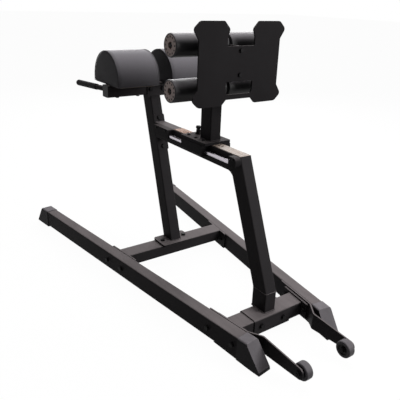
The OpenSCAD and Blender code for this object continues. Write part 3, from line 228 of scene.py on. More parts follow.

# %% [markdown]
# ## Powder coat
#
# The frame is powder coated: a black plastic skin baked onto steel. Close up it has the dimples
# of orange peel, and its gloss changes from place to place. Faces that look up gather pale dust in
# streaks, and the same pale grey is also a painted sheen of the lamps on those faces. The carriage
# has the same coat with less of both.


# %% Mix the powder coats
def powder_coat(name, level, shine, dust_and_sheen_grey):
    """Black paint with orange peel, uneven gloss, and warm dust with a painted sheen on upward
    faces.
    """
    coat = Finish(name, IOR=1.45, Specular_IOR_Level=0.022)
    peel = coat.noise(1400, 2)
    clouds = coat.noise(9, 4)
    streaks = coat.noise(60, 3, stretch=(0.12, 1, 1))
    specks = coat.noise(420, 1).between(0.62, 0.72)
    # Painted sheen: upward faces turn pale grey, part dust and part the lamps' sheen painted in.
    dust_and_sheen = coat.facing("Z").between(0.35, 0.98) * (0.45 + 0.35 * clouds + 0.35 * streaks)
    base = coat.blend(clouds, grey(level * 0.75, 0.03), grey(level * 1.3, 0.03))
    with_dust_and_sheen = coat.blend(dust_and_sheen, base, grey(dust_and_sheen_grey, 0.07))
    coat.colour(coat.blend(specks * 0.10, with_dust_and_sheen, grey(level * 3, 0.05)))
    coat.roughness(shine + clouds * 0.14 + dust_and_sheen * 0.08 + peel * 0.05)
    return coat.bump(peel + clouds * 0.2, 0.00006, 0.5)


FINISHES = {
    "frame_black": powder_coat("matte_powder_coat", level=0.0210, shine=0.38, dust_and_sheen_grey=0.160),
    "carriage_black": powder_coat("satin_powder_coat", level=0.0135, shine=0.42, dust_and_sheen_grey=0.080),
}
print("powder coats:", list(FINISHES))

# %% [markdown]
# ## Vinyl
#
# The hip pads wear black vinyl with a pebbled grain. Its wrap is painted lighter grey on top as a
# painted sheen, and the two end panels, which face across the pad, are painted near black as
# painted shade. The grain is a cell pattern: each cell is a pebble, and the lines between cells
# are its valleys.


# %% Mix the vinyl
def pebbled_vinyl():
    """Dark vinyl: pebbles from a cell pattern, and broad creases that change its gloss."""
    vinyl = Finish("pebbled_vinyl", IOR=1.5, Specular_IOR_Level=0.05, Sheen_Weight=0.03,
                   Sheen_Roughness=0.5)
    pebbles = vinyl.cells(900)
    valleys = pebbles.between(0.1, 0.7)
    fine = vinyl.noise(2600, 2)
    broad = vinyl.noise(16, 3)
    sides = vinyl.blend(valleys, grey(0.075), grey(0.058))
    # Painted sheen: the top of the wrap is a lighter copy of the sides, for light falling from
    # above.
    top = vinyl.blend(valleys, grey(0.185), grey(0.140))
    wrap = vinyl.blend(vinyl.facing("Z").between(-0.1, 0.95), sides, top)
    # Painted shade: faces that look across the pad, the end panels, are painted near black.
    aside = vinyl.facing("Y")
    vinyl.colour(vinyl.blend((aside * aside).between(0.75, 0.95), wrap, grey(0.030)))
    vinyl.roughness(0.46 + broad * 0.12 + fine * 0.06)
    return vinyl.bump(1 - pebbles * 0.8 + fine * 0.25 + broad * 0.6, 0.00022, 0.55)


FINISHES["pad_vinyl"] = pebbled_vinyl()
print("vinyl nodes:", len(FINISHES["pad_vinyl"].tree.nodes))

# %% [markdown]
# ## Foam, rubber and other dull black pieces
#
# The rollers are foam with a smooth skin that takes a long soft highlight. Boots, tyres and grips
# are moulded rubber, duller and finely pitted, and the knobs and hubs are plastic. The bolts are
# black oxide, which is as dull. They differ only in depth, shine, pits, and the grey on upward
# faces, which is dust and also a painted sheen, so one helper makes them all.


# %% Mix the dull blacks
def dull_black(name, level, shine, specular, pits, dust_and_sheen_grey=None):
    """Black with fine pits, faint flow marks, and grey dust with a painted sheen where it faces up.
    """
    black = Finish(name, IOR=1.5, Specular_IOR_Level=specular)
    grain = black.noise(1900, 3)
    flow = black.noise(30, 3, stretch=(1, 1, 0.35))
    base = black.blend(flow, grey(level * 0.75), grey(level * 1.3, 0.02))
    # Painted sheen: upward faces turn grey, part dust and part the lamps' highlight painted in.
    dust_and_sheen = black.facing("Z").between(0.15, 0.9) * (0.6 + 0.4 * flow)
    black.colour(black.blend(dust_and_sheen, base, grey(dust_and_sheen_grey or level * 1.5, 0.02)))
    black.roughness(shine + flow * 0.12 + grain * 0.08)
    return black.bump(grain + flow * 0.4, pits, 0.6)


FINISHES.update({
    "roller_foam": dull_black("skinned_foam", level=0.008, shine=0.36, specular=0.16,
                              pits=0.00005, dust_and_sheen_grey=0.20),
    "boot_rubber": dull_black("boot_rubber", level=0.013, shine=0.46, specular=0.05,
                              pits=0.00012, dust_and_sheen_grey=0.19),
    "grip_rubber": dull_black("grip_rubber", level=0.008, shine=0.42, specular=0.08,
                              pits=0.00010),
    "tyre_rubber": dull_black("tyre_rubber", level=0.058, shine=0.46, specular=0.08,
                              pits=0.00012, dust_and_sheen_grey=0.13),
    "plastic_black": dull_black("moulded_plastic", level=0.008, shine=0.34, specular=0.08,
                                pits=0.00005),
    "bolt_black": dull_black("oxide_bolt", level=0.007, shine=0.36, specular=0.05,
                             pits=0.00003),
})
print("finishes so far:", len(FINISHES))

# %% [markdown]
# ## Steel, core plastic, strip and boards
#
# The guide rod is ground and plated, so its scratches run round it, and the roller axles are
# drawn, so theirs run along them. The roller cores are a reddish brown plastic, with darker caps
# beside the bracket. The strip is tan, paler behind the carriage, where it is rubbed and where a
# painted reflection of light lies on it. The pad boards are plywood, whose grain is a noise
# stretched along the board.


# %% Mix the metals, the core plastic, the strip and the board
def scratched_steel(name, level, rough, stretch):
    """Bright metal whose fine scratches run one way."""
    metal = Finish(name, Metallic=1.0)
    scratches = metal.noise(700, 2, stretch=stretch)
    smears = metal.noise(22, 3)
    metal.colour(metal.blend(smears, grey(level * 0.88, 0.01), grey(level * 1.05)))
    metal.roughness(rough + scratches * 0.10 + smears * 0.10)
    return metal.bump(scratches, 0.00002, 0.4)


def core_plastic():
    """Reddish brown plastic with a speckle of regrind; dark within 5 cm of the middle."""
    core = Finish("core_plastic", IOR=1.46)
    speckle = core.noise(800, 2)
    clouds = core.noise(60, 3)
    across = core.along("Y")
    outer = (across * across).between(0.05 ** 2, 0.06 ** 2)
    brown = core.blend(speckle.between(0.35, 0.7),
                       (0.21, 0.145, 0.130, 1), (0.27, 0.195, 0.175, 1))
    core.colour(core.blend(outer, grey(0.035), brown))
    core.roughness(0.42 + clouds * 0.15)
    return core.bump(speckle, 0.00005, 0.4)


def tan_strip():
    """Tan wear strip with long scratches; rubbed and painted with reflected light behind x = -0.19,
    fresh ahead of x = -0.05.
    """
    strip = Finish("tan_strip", IOR=1.46, Specular_IOR_Level=0.06)
    scratches = strip.noise(500, 2, stretch=(0.04, 1, 1)).between(0.5, 0.75)
    clouds = strip.noise(14, 3)
    # Painted reflection: the paler rear colour is part rubbing and part painted reflection of
    # light.
    rubbed_and_lit = strip.blend(clouds, (0.34, 0.27, 0.225, 1), (0.43, 0.35, 0.30, 1))
    fresh = strip.blend(clouds, (0.32, 0.185, 0.13, 1), (0.41, 0.25, 0.185, 1))
    worn = strip.blend(strip.along("X").between(-0.19, -0.05), rubbed_and_lit, fresh)
    strip.colour(strip.blend(scratches * 0.5, worn, (0.16, 0.11, 0.08, 1)))
    strip.roughness(0.36 + scratches * 0.2)
    return strip.bump(1 - scratches, 0.00004, 0.5)


def birch_board():
    """Plywood: grain lines stretched along the board."""
    board = Finish("birch_board", IOR=1.4)
    grain = board.noise(220, 4, stretch=(1, 0.06, 1))
    board.colour(board.blend(grain, (0.30, 0.20, 0.11, 1), (0.52, 0.38, 0.23, 1)))
    board.roughness(0.55 + grain * 0.2)
    return board.bump(grain, 0.0001, 0.5)


FINISHES.update({
    "rod_steel": scratched_steel("ground_rod", level=0.50, rough=0.12, stretch=(1, 0.05, 0.05)),
    "axle_steel": scratched_steel("drawn_axle", level=0.36, rough=0.28, stretch=(0.05, 1, 0.05)),
    "roller_core": core_plastic(),
    "scale_strip": tan_strip(),
    "board_wood": birch_board(),
})
print("finishes:", len(FINISHES))

# %% [markdown]
# The record names a finish for every construction node, so one loop dresses them all.

# %% Give each construction node its finish
for part in frame["record"]["subparts"]:
    node = NODES[part["node"]]
    node.data.materials.clear()
    node.data.materials.append(FINISHES[part["material_slot"]].material)

# %% [markdown]
# ## Surfaces from arrays
#
# New pieces are grids of points. Each row is a closed ring, and the last ring may join the first.
# One function turns such a grid into faces. Working on whole arrays keeps this quick, and it keeps
# each shape a formula.


# %% Turn a grid of points into a mesh
def grid_faces(rows, columns, close_rows=False):
    """Four corners for each cell between ring i and ring i + 1, ring by ring."""
    i = np.arange(rows if close_rows else rows - 1)[:, None]
    j = np.arange(columns)[None, :]
    down, across = (i + 1) % rows, (j + 1) % columns
    corners = (i * columns + j, i * columns + across, down * columns + across, down * columns + j)
    return np.stack([np.broadcast_to(c, (i.size, j.size)) for c in corners], -1).reshape(-1, 4)


def halved(quads):
    """Each four-cornered face as two triangles."""
    return np.concatenate([quads[:, [0, 1, 2]], quads[:, [0, 2, 3]]])


def fill_mesh(name, points, faces):
    """A mesh from an array of points and an array of faces with one number of corners."""
    mesh = bpy.data.meshes.new(name)
    corners = faces.shape[1]
    mesh.vertices.add(len(points))
    mesh.vertices.foreach_set("co", np.ascontiguousarray(points, np.float32).ravel())
    mesh.loops.add(faces.size)
    mesh.loops.foreach_set("vertex_index", faces.ravel().astype(np.int32))
    mesh.polygons.add(len(faces))
    mesh.polygons.foreach_set("loop_start", np.arange(0, faces.size, corners, dtype=np.int32))
    mesh.polygons.foreach_set("use_smooth", np.ones(len(faces), bool))
    mesh.update(calc_edges=True)
    mesh.validate()
    return mesh


def with_poles(rings, first, last):
    """Points and triangles of a stack of closed rings with a point at each end."""
    rows, columns, _ = rings.shape
    j = np.arange(columns)
    k = (j + 1) % columns
    pole = rows * columns
    low_fan = np.stack([np.full(columns, pole), k, j], -1)
    high_fan = np.stack([np.full(columns, pole + 1), pole - columns + j, pole - columns + k], -1)
    points = np.concatenate([rings.reshape(-1, 3), [first, last]])
    return points, np.concatenate([halved(grid_faces(rows, columns)), low_fan, high_fan])


print("a tube of 3 rings of 4 points has", len(grid_faces(3, 4)), "faces")

# %% [markdown]
# A new piece also needs a finish and a body of the machine to ride on, so that it moves with the
# carriage, a roller or the frame. Its place comes from the box of a construction node.


# %% Put a piece in the scene
def show(name, points, faces, slot, body):
    """Puts a surface in the scene with its finish, riding on a body of the machine."""
    return show_mesh(name, fill_mesh(name, points, faces), slot, body)


def show_mesh(name, mesh, slot, body):
    """The same for a mesh that is ready."""
    piece = bpy.data.objects.new(name, mesh)
    scene.collection.objects.link(piece)
    mesh.materials.clear()
    mesh.materials.append(FINISHES[slot].material)
    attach(piece, body)
    return piece


def corners_of(node):
    """The lowest and highest corner of a construction node, as arrays."""
    low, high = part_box(node)
    return np.array(low), np.array(high)


print("left hip pad from", *[corner.round(3) for corner in corners_of("left_hip_pad")])

# %% [markdown]
# A turned piece is a profile carried round an axis. The profile lists how far each point lies
# along the axis and how far from it. A closed profile makes a ring, such as a foam sleeve.


# %% Carry a profile round an axis
def turned(profile, base, direction, steps=96):
    """Point at angle t: base + along * direction + radius * (cos t * side + sin t * up)."""
    direction = np.array(direction) / np.linalg.norm(direction)
    side = np.cross(direction, [0, 0, 1])
    side = side / np.linalg.norm(side)
    up = np.cross(side, direction)
    angle = np.linspace(0, 2 * np.pi, steps, endpoint=False)
    round_axis = np.cos(angle)[:, None] * side + np.sin(angle)[:, None] * up
    along, radius = np.array(profile).T
    points = (np.array(base) + along[:, None, None] * direction
              + radius[:, None, None] * round_axis)
    return points.reshape(-1, 3), grid_faces(len(along), steps, close_rows=True)


def arc(corner, radius, start, end, steps=7):
    """Point at angle t: corner + radius * (cos t, sin t), with t from start to end in degrees."""
    angle = np.radians(np.linspace(start, end, steps))
    return np.stack([corner[0] + radius * np.cos(angle), corner[1] + radius * np.sin(angle)], -1)


print("a quarter arc has", len(arc((0, 0), 1, 0, 90)), "points")

# %% [markdown]
# ## Foam rollers
#
# Each roller is a foam sleeve on a plastic core. Its skin is smooth but not perfect: years of
# shins leave shallow waves. The sleeve is a ring profile with rounded lips, and the waves are a
# product of sines laid over it, a third of a millimetre deep.

# %% Turn the foam sleeves
SLEEVE_BORE = 0.015
CAP_SEAT = 0.0045
CAP_DEPTH = 0.004
SLEEVE_LIP = 0.0035
WAVE_DEPTH = 0.00015


def foam_sleeve(node):
    """Ring with rounded lips; its radius gains depth * (sin(3 t + 40 y) * sin(55 y + 20 z) - 1)."""
    low, high = corners_of(node)
    outer = (high[0] - low[0]) / 2
    seat, lip = outer - CAP_SEAT, SLEEVE_LIP
    length = high[1] - low[1]
    middle = np.linspace(lip, length - lip, 60)[1:-1]
    profile = np.concatenate([
        [[CAP_DEPTH, SLEEVE_BORE], [CAP_DEPTH, seat], [0, seat]],
        arc((lip, outer - lip), lip, 180, 90),
        np.stack([middle, np.full(len(middle), outer)], -1),
        arc((length - lip, outer - lip), lip, 90, 0),
        [[length, seat], [length - CAP_DEPTH, seat], [length - CAP_DEPTH, SLEEVE_BORE]]])
    base = np.array([(low[0] + high[0]) / 2, low[1], (low[2] + high[2]) / 2])
    points, faces = turned(profile, base, (0, 1, 0))
    arm = points - base
    arm[:, 1] = 0
    reach = np.linalg.norm(arm, axis=1)
    angle = np.arctan2(arm[:, 2], arm[:, 0])
    wave = np.sin(3 * angle + points[:, 1] * 40) * np.sin(points[:, 1] * 55 + base[2] * 20)
    worn = (reach > seat + 0.001) * WAVE_DEPTH * (wave - 1)
    return points + arm / reach[:, None] * worn[:, None], faces


ROLLERS = ["upper_left_roller", "upper_right_roller", "lower_left_roller", "lower_right_roller"]
for roller in ROLLERS:
    sleeve = show(roller + "_sleeve", *foam_sleeve(roller), "roller_foam", roller)
    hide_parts(roller)
print("foam sleeves:", len(ROLLERS))

# %% [markdown]
# ## Dots on the roller ends
#
# Each outer cap has a ring of plain dots, raised by half a millimetre as a mould would leave
# them. One small dome is worked out once and copied to every place by adding its offset to the
# whole array.

# %% Raise a ring of dots on each outer cap
DOT_RADIUS = 0.0036
DOT_HEIGHT = 0.0006
DOT_COUNT = 12
DOT_RING = 0.0285


def dome(radius, height, rings=4, steps=10):
    """Point at (a, t): (radius cos a cos t, height sin a, radius cos a sin t)."""
    lift = np.linspace(0, np.pi / 2, rings + 1)[:-1, None]
    angle = np.linspace(0, 2 * np.pi, steps, endpoint=False)
    shape = np.stack([radius * np.cos(lift) * np.cos(angle),
                      np.broadcast_to(height * np.sin(lift), (rings, steps)),
                      radius * np.cos(lift) * np.sin(angle)], -1)
    return with_poles(shape, [0, 0, 0], [0, height, 0])


def repeat(points, faces, offsets):
    """The same piece at every offset, as one array of points and one of faces."""
    many = (offsets[:, None, :] + points[None]).reshape(-1, 3)
    first = len(points) * np.arange(len(offsets))[:, None, None]
    return many, (faces[None] + first).reshape(-1, faces.shape[1])


dot_angle = np.linspace(0, 2 * np.pi, DOT_COUNT, endpoint=False)
dot_places = DOT_RING * np.stack([np.cos(dot_angle), 0 * dot_angle, np.sin(dot_angle)], -1)
for roller in ROLLERS:
    low, high = corners_of(roller + "_core")
    centre = (low + high) / 2
    points, faces = repeat(*dome(DOT_RADIUS, DOT_HEIGHT), dot_places)
    if centre[1] > 0:
        centre[1] = high[1]
    else:
        centre[1] = low[1]
        points, faces = points * [1, -1, 1], faces[:, ::-1]
    show(roller + "_cap_dots", points + centre, faces, "plastic_black", roller)
print("cap dots:", DOT_COUNT, "on each roller")

# %% [markdown]
# ## Hip pads
#
# A hip pad is foam on a board, under vinyl cut as a wrap and two end panels that are sewn
# together along a welt. Foam under a tight cover swells where nothing holds it. Cloth simulation
# does that well: hold the sewn edges and the board, and let pressure push the panels out. The
# starting form is a stack of rings, each the pad's outline drawn in a little.

# %% Form a pad before it swells
PAD_SIDE = 0.0225
SEAM_INSET = 0.0035
PAD_FOOT = 0.008
PAD_EDGE = 0.006


def pad_outline(radius, steps=150):
    """Flat bottom, short upright sides and a half circle, as evenly spaced points."""
    foot = arc((radius - PAD_FOOT, PAD_FOOT), PAD_FOOT, -90, 0, steps=6)
    path = np.concatenate([[[0, 0]], foot, arc((0, PAD_SIDE), radius, 0, 180, steps=73),
                           foot[::-1] * [-1, 1], [[0, 0]]])
    reach = np.concatenate([[0], np.cumsum(np.linalg.norm(np.diff(path, axis=0), axis=1))])
    even = np.linspace(0, reach[-1], steps, endpoint=False)
    return np.stack([np.interp(even, reach, path[:, 0]), np.interp(even, reach, path[:, 1])], -1)


def heart(radius):
    """Height of the point that the rings shrink towards and the seams are drawn to."""
    return PAD_SIDE + radius * 0.3


def pad_form(low, high):
    """Rings along the pad: full size, then drawn in round the edge, then across the end panel."""
    radius = (high[0] - low[0]) / 2 - SEAM_INSET
    half = (high[1] - low[1]) / 2 - SEAM_INSET
    outline = pad_outline(radius)
    turn = np.radians(np.linspace(0, 90, 6))[1:]
    barrel = np.linspace(0, half - PAD_EDGE, 26)
    panel = np.linspace(0.9, 0.1, 9)
    y = np.concatenate([barrel, half - PAD_EDGE + PAD_EDGE * np.sin(turn),
                        np.full(len(panel), half)])
    share = np.concatenate([np.ones(len(barrel)), 1 - PAD_EDGE / radius * (1 - np.cos(turn)),
                            (1 - PAD_EDGE / radius) * panel])
    y = np.concatenate([-y[:0:-1], y])
    share = np.concatenate([share[:0:-1], share])
    middle = heart(radius)
    x = outline[None, :, 0] * share[:, None]
    z = np.maximum(middle + (outline[None, :, 1] - middle) * share[:, None], 0)
    rings = np.stack([x, np.broadcast_to(y[:, None], x.shape), z], -1)
    centre = np.array([(low[0] + high[0]) / 2, (low[1] + high[1]) / 2, low[2]])
    points, faces = with_poles(rings, [0, -half, middle], [0, half, middle])
    return points + centre, faces[:, ::-1], centre, radius, half


print("pad form:", len(pad_form(*corners_of("left_hip_pad"))[0]), "points")

# %% [markdown]
# The simulation runs on an even skin of small faces, which the voxel remesh makes. The sewn edges
# and the base are pinned by a vertex group. Gravity is off, since the foam holds the cover up. The
# distance that a point may move is capped, and the result becomes the mesh, so no cloth is left.

# %% Swell the cover
SKIN_STEP = 0.005
SEAM_HOLD = 0.007
BASE_HOLD = 0.006
SWELL_FRAMES = 20
MOST_SWELL = 0.0045


def points_of(mesh):
    """All points of a mesh as one array."""
    flat = np.empty(len(mesh.vertices) * 3, np.float32)
    mesh.vertices.foreach_get("co", flat)
    return flat.reshape(-1, 3).astype(float)


def baked(piece):
    """The piece's mesh with its modifiers applied."""
    graph = bpy.context.evaluated_depsgraph_get()
    return bpy.data.meshes.new_from_object(piece.evaluated_get(graph), depsgraph=graph)


def seam_distance(points, centre, radius, half):
    """Distance of each point from the nearer of the two sewn edges."""
    p = points - centre
    above = np.maximum(p[:, 2] - PAD_SIDE, 0)
    from_outline = np.abs(radius - np.hypot(p[:, 0], above))
    from_end = np.abs(half - np.abs(p[:, 1]))
    return np.hypot(from_outline, from_end)


def swell(form, centre, radius, half):
    """Remeshes a closed form and blows it up a little between its seams and its base."""
    even = form.modifiers.new("even_skin", "REMESH")
    even.mode = "VOXEL"
    even.voxel_size = SKIN_STEP
    skin = baked(form)
    form.modifiers.clear()
    form.data = skin
    start = points_of(skin)
    on_seam = seam_distance(start, centre, radius, half) < SEAM_HOLD
    on_base = start[:, 2] < centre[2] + BASE_HOLD
    group = form.vertex_groups.new(name="held")
    group.add(np.flatnonzero(on_seam | on_base).tolist(), 1.0, "REPLACE")
    cloth = form.modifiers.new("cover", "CLOTH")
    cloth.settings.quality = 6
    cloth.settings.mass = 0.3
    cloth.settings.tension_stiffness = 30
    cloth.settings.compression_stiffness = 30
    cloth.settings.bending_stiffness = 4
    cloth.settings.use_pressure = True
    cloth.settings.uniform_pressure_force = 4
    cloth.settings.vertex_group_mass = "held"
    cloth.settings.effector_weights.gravity = 0
    cloth.point_cache.frame_start = 1
    cloth.point_cache.frame_end = SWELL_FRAMES
    for step in range(1, SWELL_FRAMES + 1):
        scene.frame_set(step)
    swollen = baked(form)
    form.modifiers.clear()
    moved = points_of(swollen) - start
    reach = np.linalg.norm(moved, axis=1)
    shift = moved * np.minimum(1, MOST_SWELL / np.maximum(reach, 1e-9))[:, None]
    print("  swell: most", round(float(reach.max()) * 1000, 2), "mm, mean",
          round(float(np.linalg.norm(shift, axis=1).mean()) * 1000, 2), "mm")
    scene.frame_set(1)
    return start + shift


print("swell: no more than", MOST_SWELL * 1000, "mm")

# %% [markdown]
# A seam pulls the cover down, so after the swelling every point near a sewn edge moves in by a
# bell curve of its distance from the edge. One level of subdivision then rounds the small faces.

# %% Upholster both pads
DIP_WIDTH = 0.0035
DIP_DEPTH = 0.0012


def upholster(node):
    """Forms a pad in the space of its construction solid, swells it and draws its seams in."""
    low, high = corners_of(node)
    points, faces, centre, radius, half = pad_form(low, high)
    form = bpy.data.objects.new(node + "_form", fill_mesh(node + "_form", points, faces))
    scene.collection.objects.link(form)
    points = swell(form, centre, radius, half)
    near = np.exp(-(seam_distance(points, centre, radius, half) / DIP_WIDTH) ** 2)
    inward = centre + [0, 0, heart(radius)] - points
    inward = inward / np.linalg.norm(inward, axis=1)[:, None]
    points = points + inward * (near * DIP_DEPTH)[:, None]
    points[:, 2] = np.maximum(points[:, 2], low[2])
    form.data.vertices.foreach_set("co", points.astype(np.float32).ravel())
    form.data.update()
    rounder = form.modifiers.new("rounder", "SUBSURF")
    rounder.levels = rounder.render_levels = 1
    smooth = baked(form)
    smooth.polygons.foreach_set("use_smooth", np.ones(len(smooth.polygons), bool))
    smooth.name = node + "_cover"
    bpy.data.objects.remove(form)
    cover = show_mesh(node + "_cover", smooth, "pad_vinyl", "frame")
    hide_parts(node)
    return centre, radius, half


PADS = {node: upholster(node) for node in ("left_hip_pad", "right_hip_pad")}
print("pads:", list(PADS))

# %% [markdown]
# ## Carry a round section along a path
#
# Welts, stitches and weld beads are all tubes along a path. At each point the section stands
# across the path, on two directions: one that stays along a given axis as far as it can, and one
# square to it and to the path.


# %% Make a tube along a path
def tube(path, radius, axis, sides, closed=False):
    """Point at (i, t): path_i + radius_i * (cos t * side_i + sin t * up_i)."""
    path = np.array(path, float)
    if closed:
        ahead = np.roll(path, -1, 0) - np.roll(path, 1, 0)
    else:
        ahead = np.gradient(path, axis=0)
    ahead = ahead / np.linalg.norm(ahead, axis=1)[:, None]
    side = np.cross(ahead, axis)
    side = side / np.linalg.norm(side, axis=1)[:, None]
    up = np.cross(side, ahead)
    angle = np.linspace(0, 2 * np.pi, sides, endpoint=False)[None, :, None]
    radius = np.broadcast_to(radius, len(path))[:, None, None]
    rings = path[:, None] + radius * (np.cos(angle) * side[:, None] + np.sin(angle) * up[:, None])
    if closed:
        return rings.reshape(-1, 3), halved(grid_faces(len(path), sides, close_rows=True))
    return with_poles(rings, path[0], path[-1])


def join(parts):
    """Several pairs of points and triangles as one pair."""
    starts = np.cumsum([0] + [len(points) for points, _ in parts[:-1]])
    return (np.concatenate([points for points, _ in parts]),
            np.concatenate([faces + start for (_, faces), start in zip(parts, starts)]))


def evenly(path, step, closed=False):
    """The path as points at an even distance."""
    path = np.array(path, float)
    if closed:
        path = np.concatenate([path, path[:1]])
    reach = np.concatenate([[0], np.cumsum(np.linalg.norm(np.diff(path, axis=0), axis=1))])
    count = max(int(reach[-1] / step), 3)
    even = np.linspace(0, reach[-1], count, endpoint=not closed)
    return np.stack([np.interp(even, reach, path[:, k]) for k in range(3)], -1)


print("points on a path of 10 steps:", len(evenly([(0, 0, 0), (10, 0, 0)], 1)))

# %% [markdown]
# The welt is a thin cord sewn into each edge. A row of stitches runs beside it on the wrap. Each
# stitch is a short bent tube of a few dozen faces, thicker in its middle, and the row is that
# tube placed again and again along the outline.

# %% Sew the welts and the stitches
WELT_RADIUS = 0.0017
WELT_SUNK = 0.0012
WELT_LIFT = 0.004
WELT_STEP = 0.002
STITCH_STEP = 0.0016
STITCH_PROUD = 0.0004
STITCH_SETBACK = 0.011
STITCH_LIFT = 0.012
STITCH_RADII = np.array([0.0003, 0.00045, 0.0003])
ACROSS = (0, 1, 0)


def edge_path(centre, radius, end, lift):
    """The sewn edge at one end of a pad: up one side, over the top and down the other."""
    x, z = np.concatenate([[[radius, lift]], arc((0, PAD_SIDE), radius, 0, 180, steps=121),
                           [[-radius, lift]]]).T
    return centre + np.stack([x, np.full(len(x), end), z], -1)


for node, (centre, radius, half) in PADS.items():
    welts, stitches = [], []
    for sign in (-1, 1):
        edge = edge_path(centre, radius - WELT_SUNK, sign * (half - WELT_SUNK), WELT_LIFT)
        welts.append(tube(evenly(edge, WELT_STEP), WELT_RADIUS, ACROSS, sides=8))
        line = edge_path(centre, radius + STITCH_PROUD, sign * (half - STITCH_SETBACK), STITCH_LIFT)
        row = evenly(line, STITCH_STEP)
        whole = len(row) // 4 * 4
        runs = row[:whole].reshape(-1, 4, 3)[:, :3]
        stitches += [tube(run, STITCH_RADII, ACROSS, sides=5) for run in runs]
    show(node + "_welts", *join(welts), "pad_vinyl", "frame")
    show(node + "_stitches", *join(stitches), "grip_rubber", "frame")
print("stitches on each pad:", len(stitches))

# %% [markdown]
# ## Grips
#
# The handles wear rubber sleeves with fine ribs round them and a rounded tip. The radius along
# the grip is a plain value less a raised cosine, so the ribs are real geometry. The profile stops
# a fifth of a millimetre from the axis, so that no two points of the tip fall together.

# %% Turn the ribbed grips
_, bar_high = corners_of("pad_bar")
grip_low, grip_high = corners_of("handle_grips")
HANDLE_INSET = 0.014
HANDLE_Y = bar_high[1] - HANDLE_INSET
HANDLE_Z = (grip_low[2] + grip_high[2]) / 2
HANDLE_SPLAY = np.radians(10.9)
HANDLE_LENGTH = 0.214
GRIP_LENGTH = 0.150
GRIP_RADIUS = 0.013
GRIP_BORE = 0.0112
GRIP_MOUTH = 0.0128
GRIP_TIP = 0.010
GRIP_CROWN = 0.004
RIB_PITCH = 0.003
RIB_SWING = 0.00018
RIB_MARGINS = (0.004, 0.012)
NEAR_AXIS = 0.0002


def grip(side):
    """Radius between the ends: plain - swing + swing * cos(2 pi along / pitch)."""
    start, end = HANDLE_LENGTH - GRIP_LENGTH, HANDLE_LENGTH
    along = np.linspace(start + RIB_MARGINS[0], end - RIB_MARGINS[1], 300)
    ribs = GRIP_RADIUS - RIB_SWING + RIB_SWING * np.cos(2 * np.pi * along / RIB_PITCH)
    profile = np.concatenate([
        [[end - GRIP_CROWN, NEAR_AXIS], [end - GRIP_CROWN, GRIP_BORE], [start, GRIP_BORE],
         [start, GRIP_MOUTH]],
        np.stack([along, ribs], -1),
        arc((end - GRIP_TIP, GRIP_RADIUS - GRIP_TIP), GRIP_TIP, 90, 0),
        [[end, NEAR_AXIS]]])
    root = (bar_high[0], side * HANDLE_Y, HANDLE_Z)
    direction = (np.cos(HANDLE_SPLAY), side * np.sin(HANDLE_SPLAY), 0)
    points, faces = turned(profile, root, direction, steps=40)
    return points, halved(faces)


grips = show("ribbed_grips", *join([grip(1), grip(-1)]), "grip_rubber", "frame")
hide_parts("handle_grips")
print("grips:", len(grips.data.polygons), "faces")

# %% [markdown]
# ## Weld beads
#
# Every joint of two tubes is welded, and the bead shows under the paint as a row of overlapping
# ripples. A bead is a tube whose radius rises and falls with the distance along it. The paths
# follow the joints' corners, taken from the construction nodes' boxes. A tube that leans is cut
# level, so its foot is its depth divided by the cosine of the lean. A mitre halves the angle
# between its two tubes.

# %% Find the joints
MAST_DEPTH = 0.0675
REAR_LEAN = np.radians(22.3)
FRONT_LEAN = np.radians(17.1)
SADDLE_THICKNESS = 0.004
BASE_PLATE_THICKNESS = 0.008
BASE_PLATE_LEAD = 0.024

_, saddle_high = corners_of("rear_saddle")
_, beam_high = corners_of("rear_beam")
upright_low, upright_high = corners_of("rear_upright")
front_low, _ = corners_of("front_upright")
_, plate_high = corners_of("carriage_plate")
post_low, post_high = corners_of("post")

mast_y = upright_high[1]
stub_x = (upright_low[0], saddle_high[0])
stub_foot_z = beam_high[2] + SADDLE_THICKNESS
front_x = front_low[0] + BASE_PLATE_LEAD
front_foot_x = (front_x, front_x + MAST_DEPTH / np.cos(FRONT_LEAN))
front_foot_z = front_low[2] + BASE_PLATE_THICKNESS
mitre_top = np.array([corners_of("slide_tube")[0][0], upright_high[2]])
mitre_run = MAST_DEPTH * np.tan((np.pi / 2 - REAR_LEAN) / 2)
mitre_foot = mitre_top + [mitre_run, -MAST_DEPTH]
print("mitre from", mitre_top.round(4), "to", mitre_foot.round(4))


# %% Lay the weld beads
BEAD = 0.0022
TOP_BEAD = 0.0014
MITRE_BEAD = 0.0013
MITRE_AXIS = (0.56, 0, 0.83)
MITRE_INSET = np.array([0.002, -0.003])
BEAD_STEP = 0.0008
RIPPLE = 0.13
RING_CORNER = 0.004


def bead(corner_points, radius=BEAD, axis=(0, 0, 1)):
    """Radius of the closed tube at point i: radius * (1 + ripple * |sin(pi i / 3)|)."""
    path = evenly(corner_points, BEAD_STEP, closed=True)
    swing = 1 + RIPPLE * np.abs(np.sin(np.pi * np.arange(len(path)) / 3))
    return tube(path, radius * swing, axis, sides=8, closed=True)


def level_ring(x, y, z):
    """Rectangle with cut corners on the level z, from x[0] to x[1] and from -y to y."""
    (x0, x1), c = x, RING_CORNER
    return [(x0 + c, -y, z), (x1 - c, -y, z), (x1, -y + c, z), (x1, y - c, z),
            (x1 - c, y, z), (x0 + c, y, z), (x0, y - c, z), (x0, -y + c, z)]


def mitre_ring():
    """The mitre's slanted rectangle, with its ends drawn in round the tubes' corners."""
    (x0, z0), (x1, z1) = mitre_top + MITRE_INSET, mitre_foot - MITRE_INSET
    return [(x0, -mast_y, z0), (x1, -mast_y, z1), (x1, mast_y, z1), (x0, mast_y, z0)]


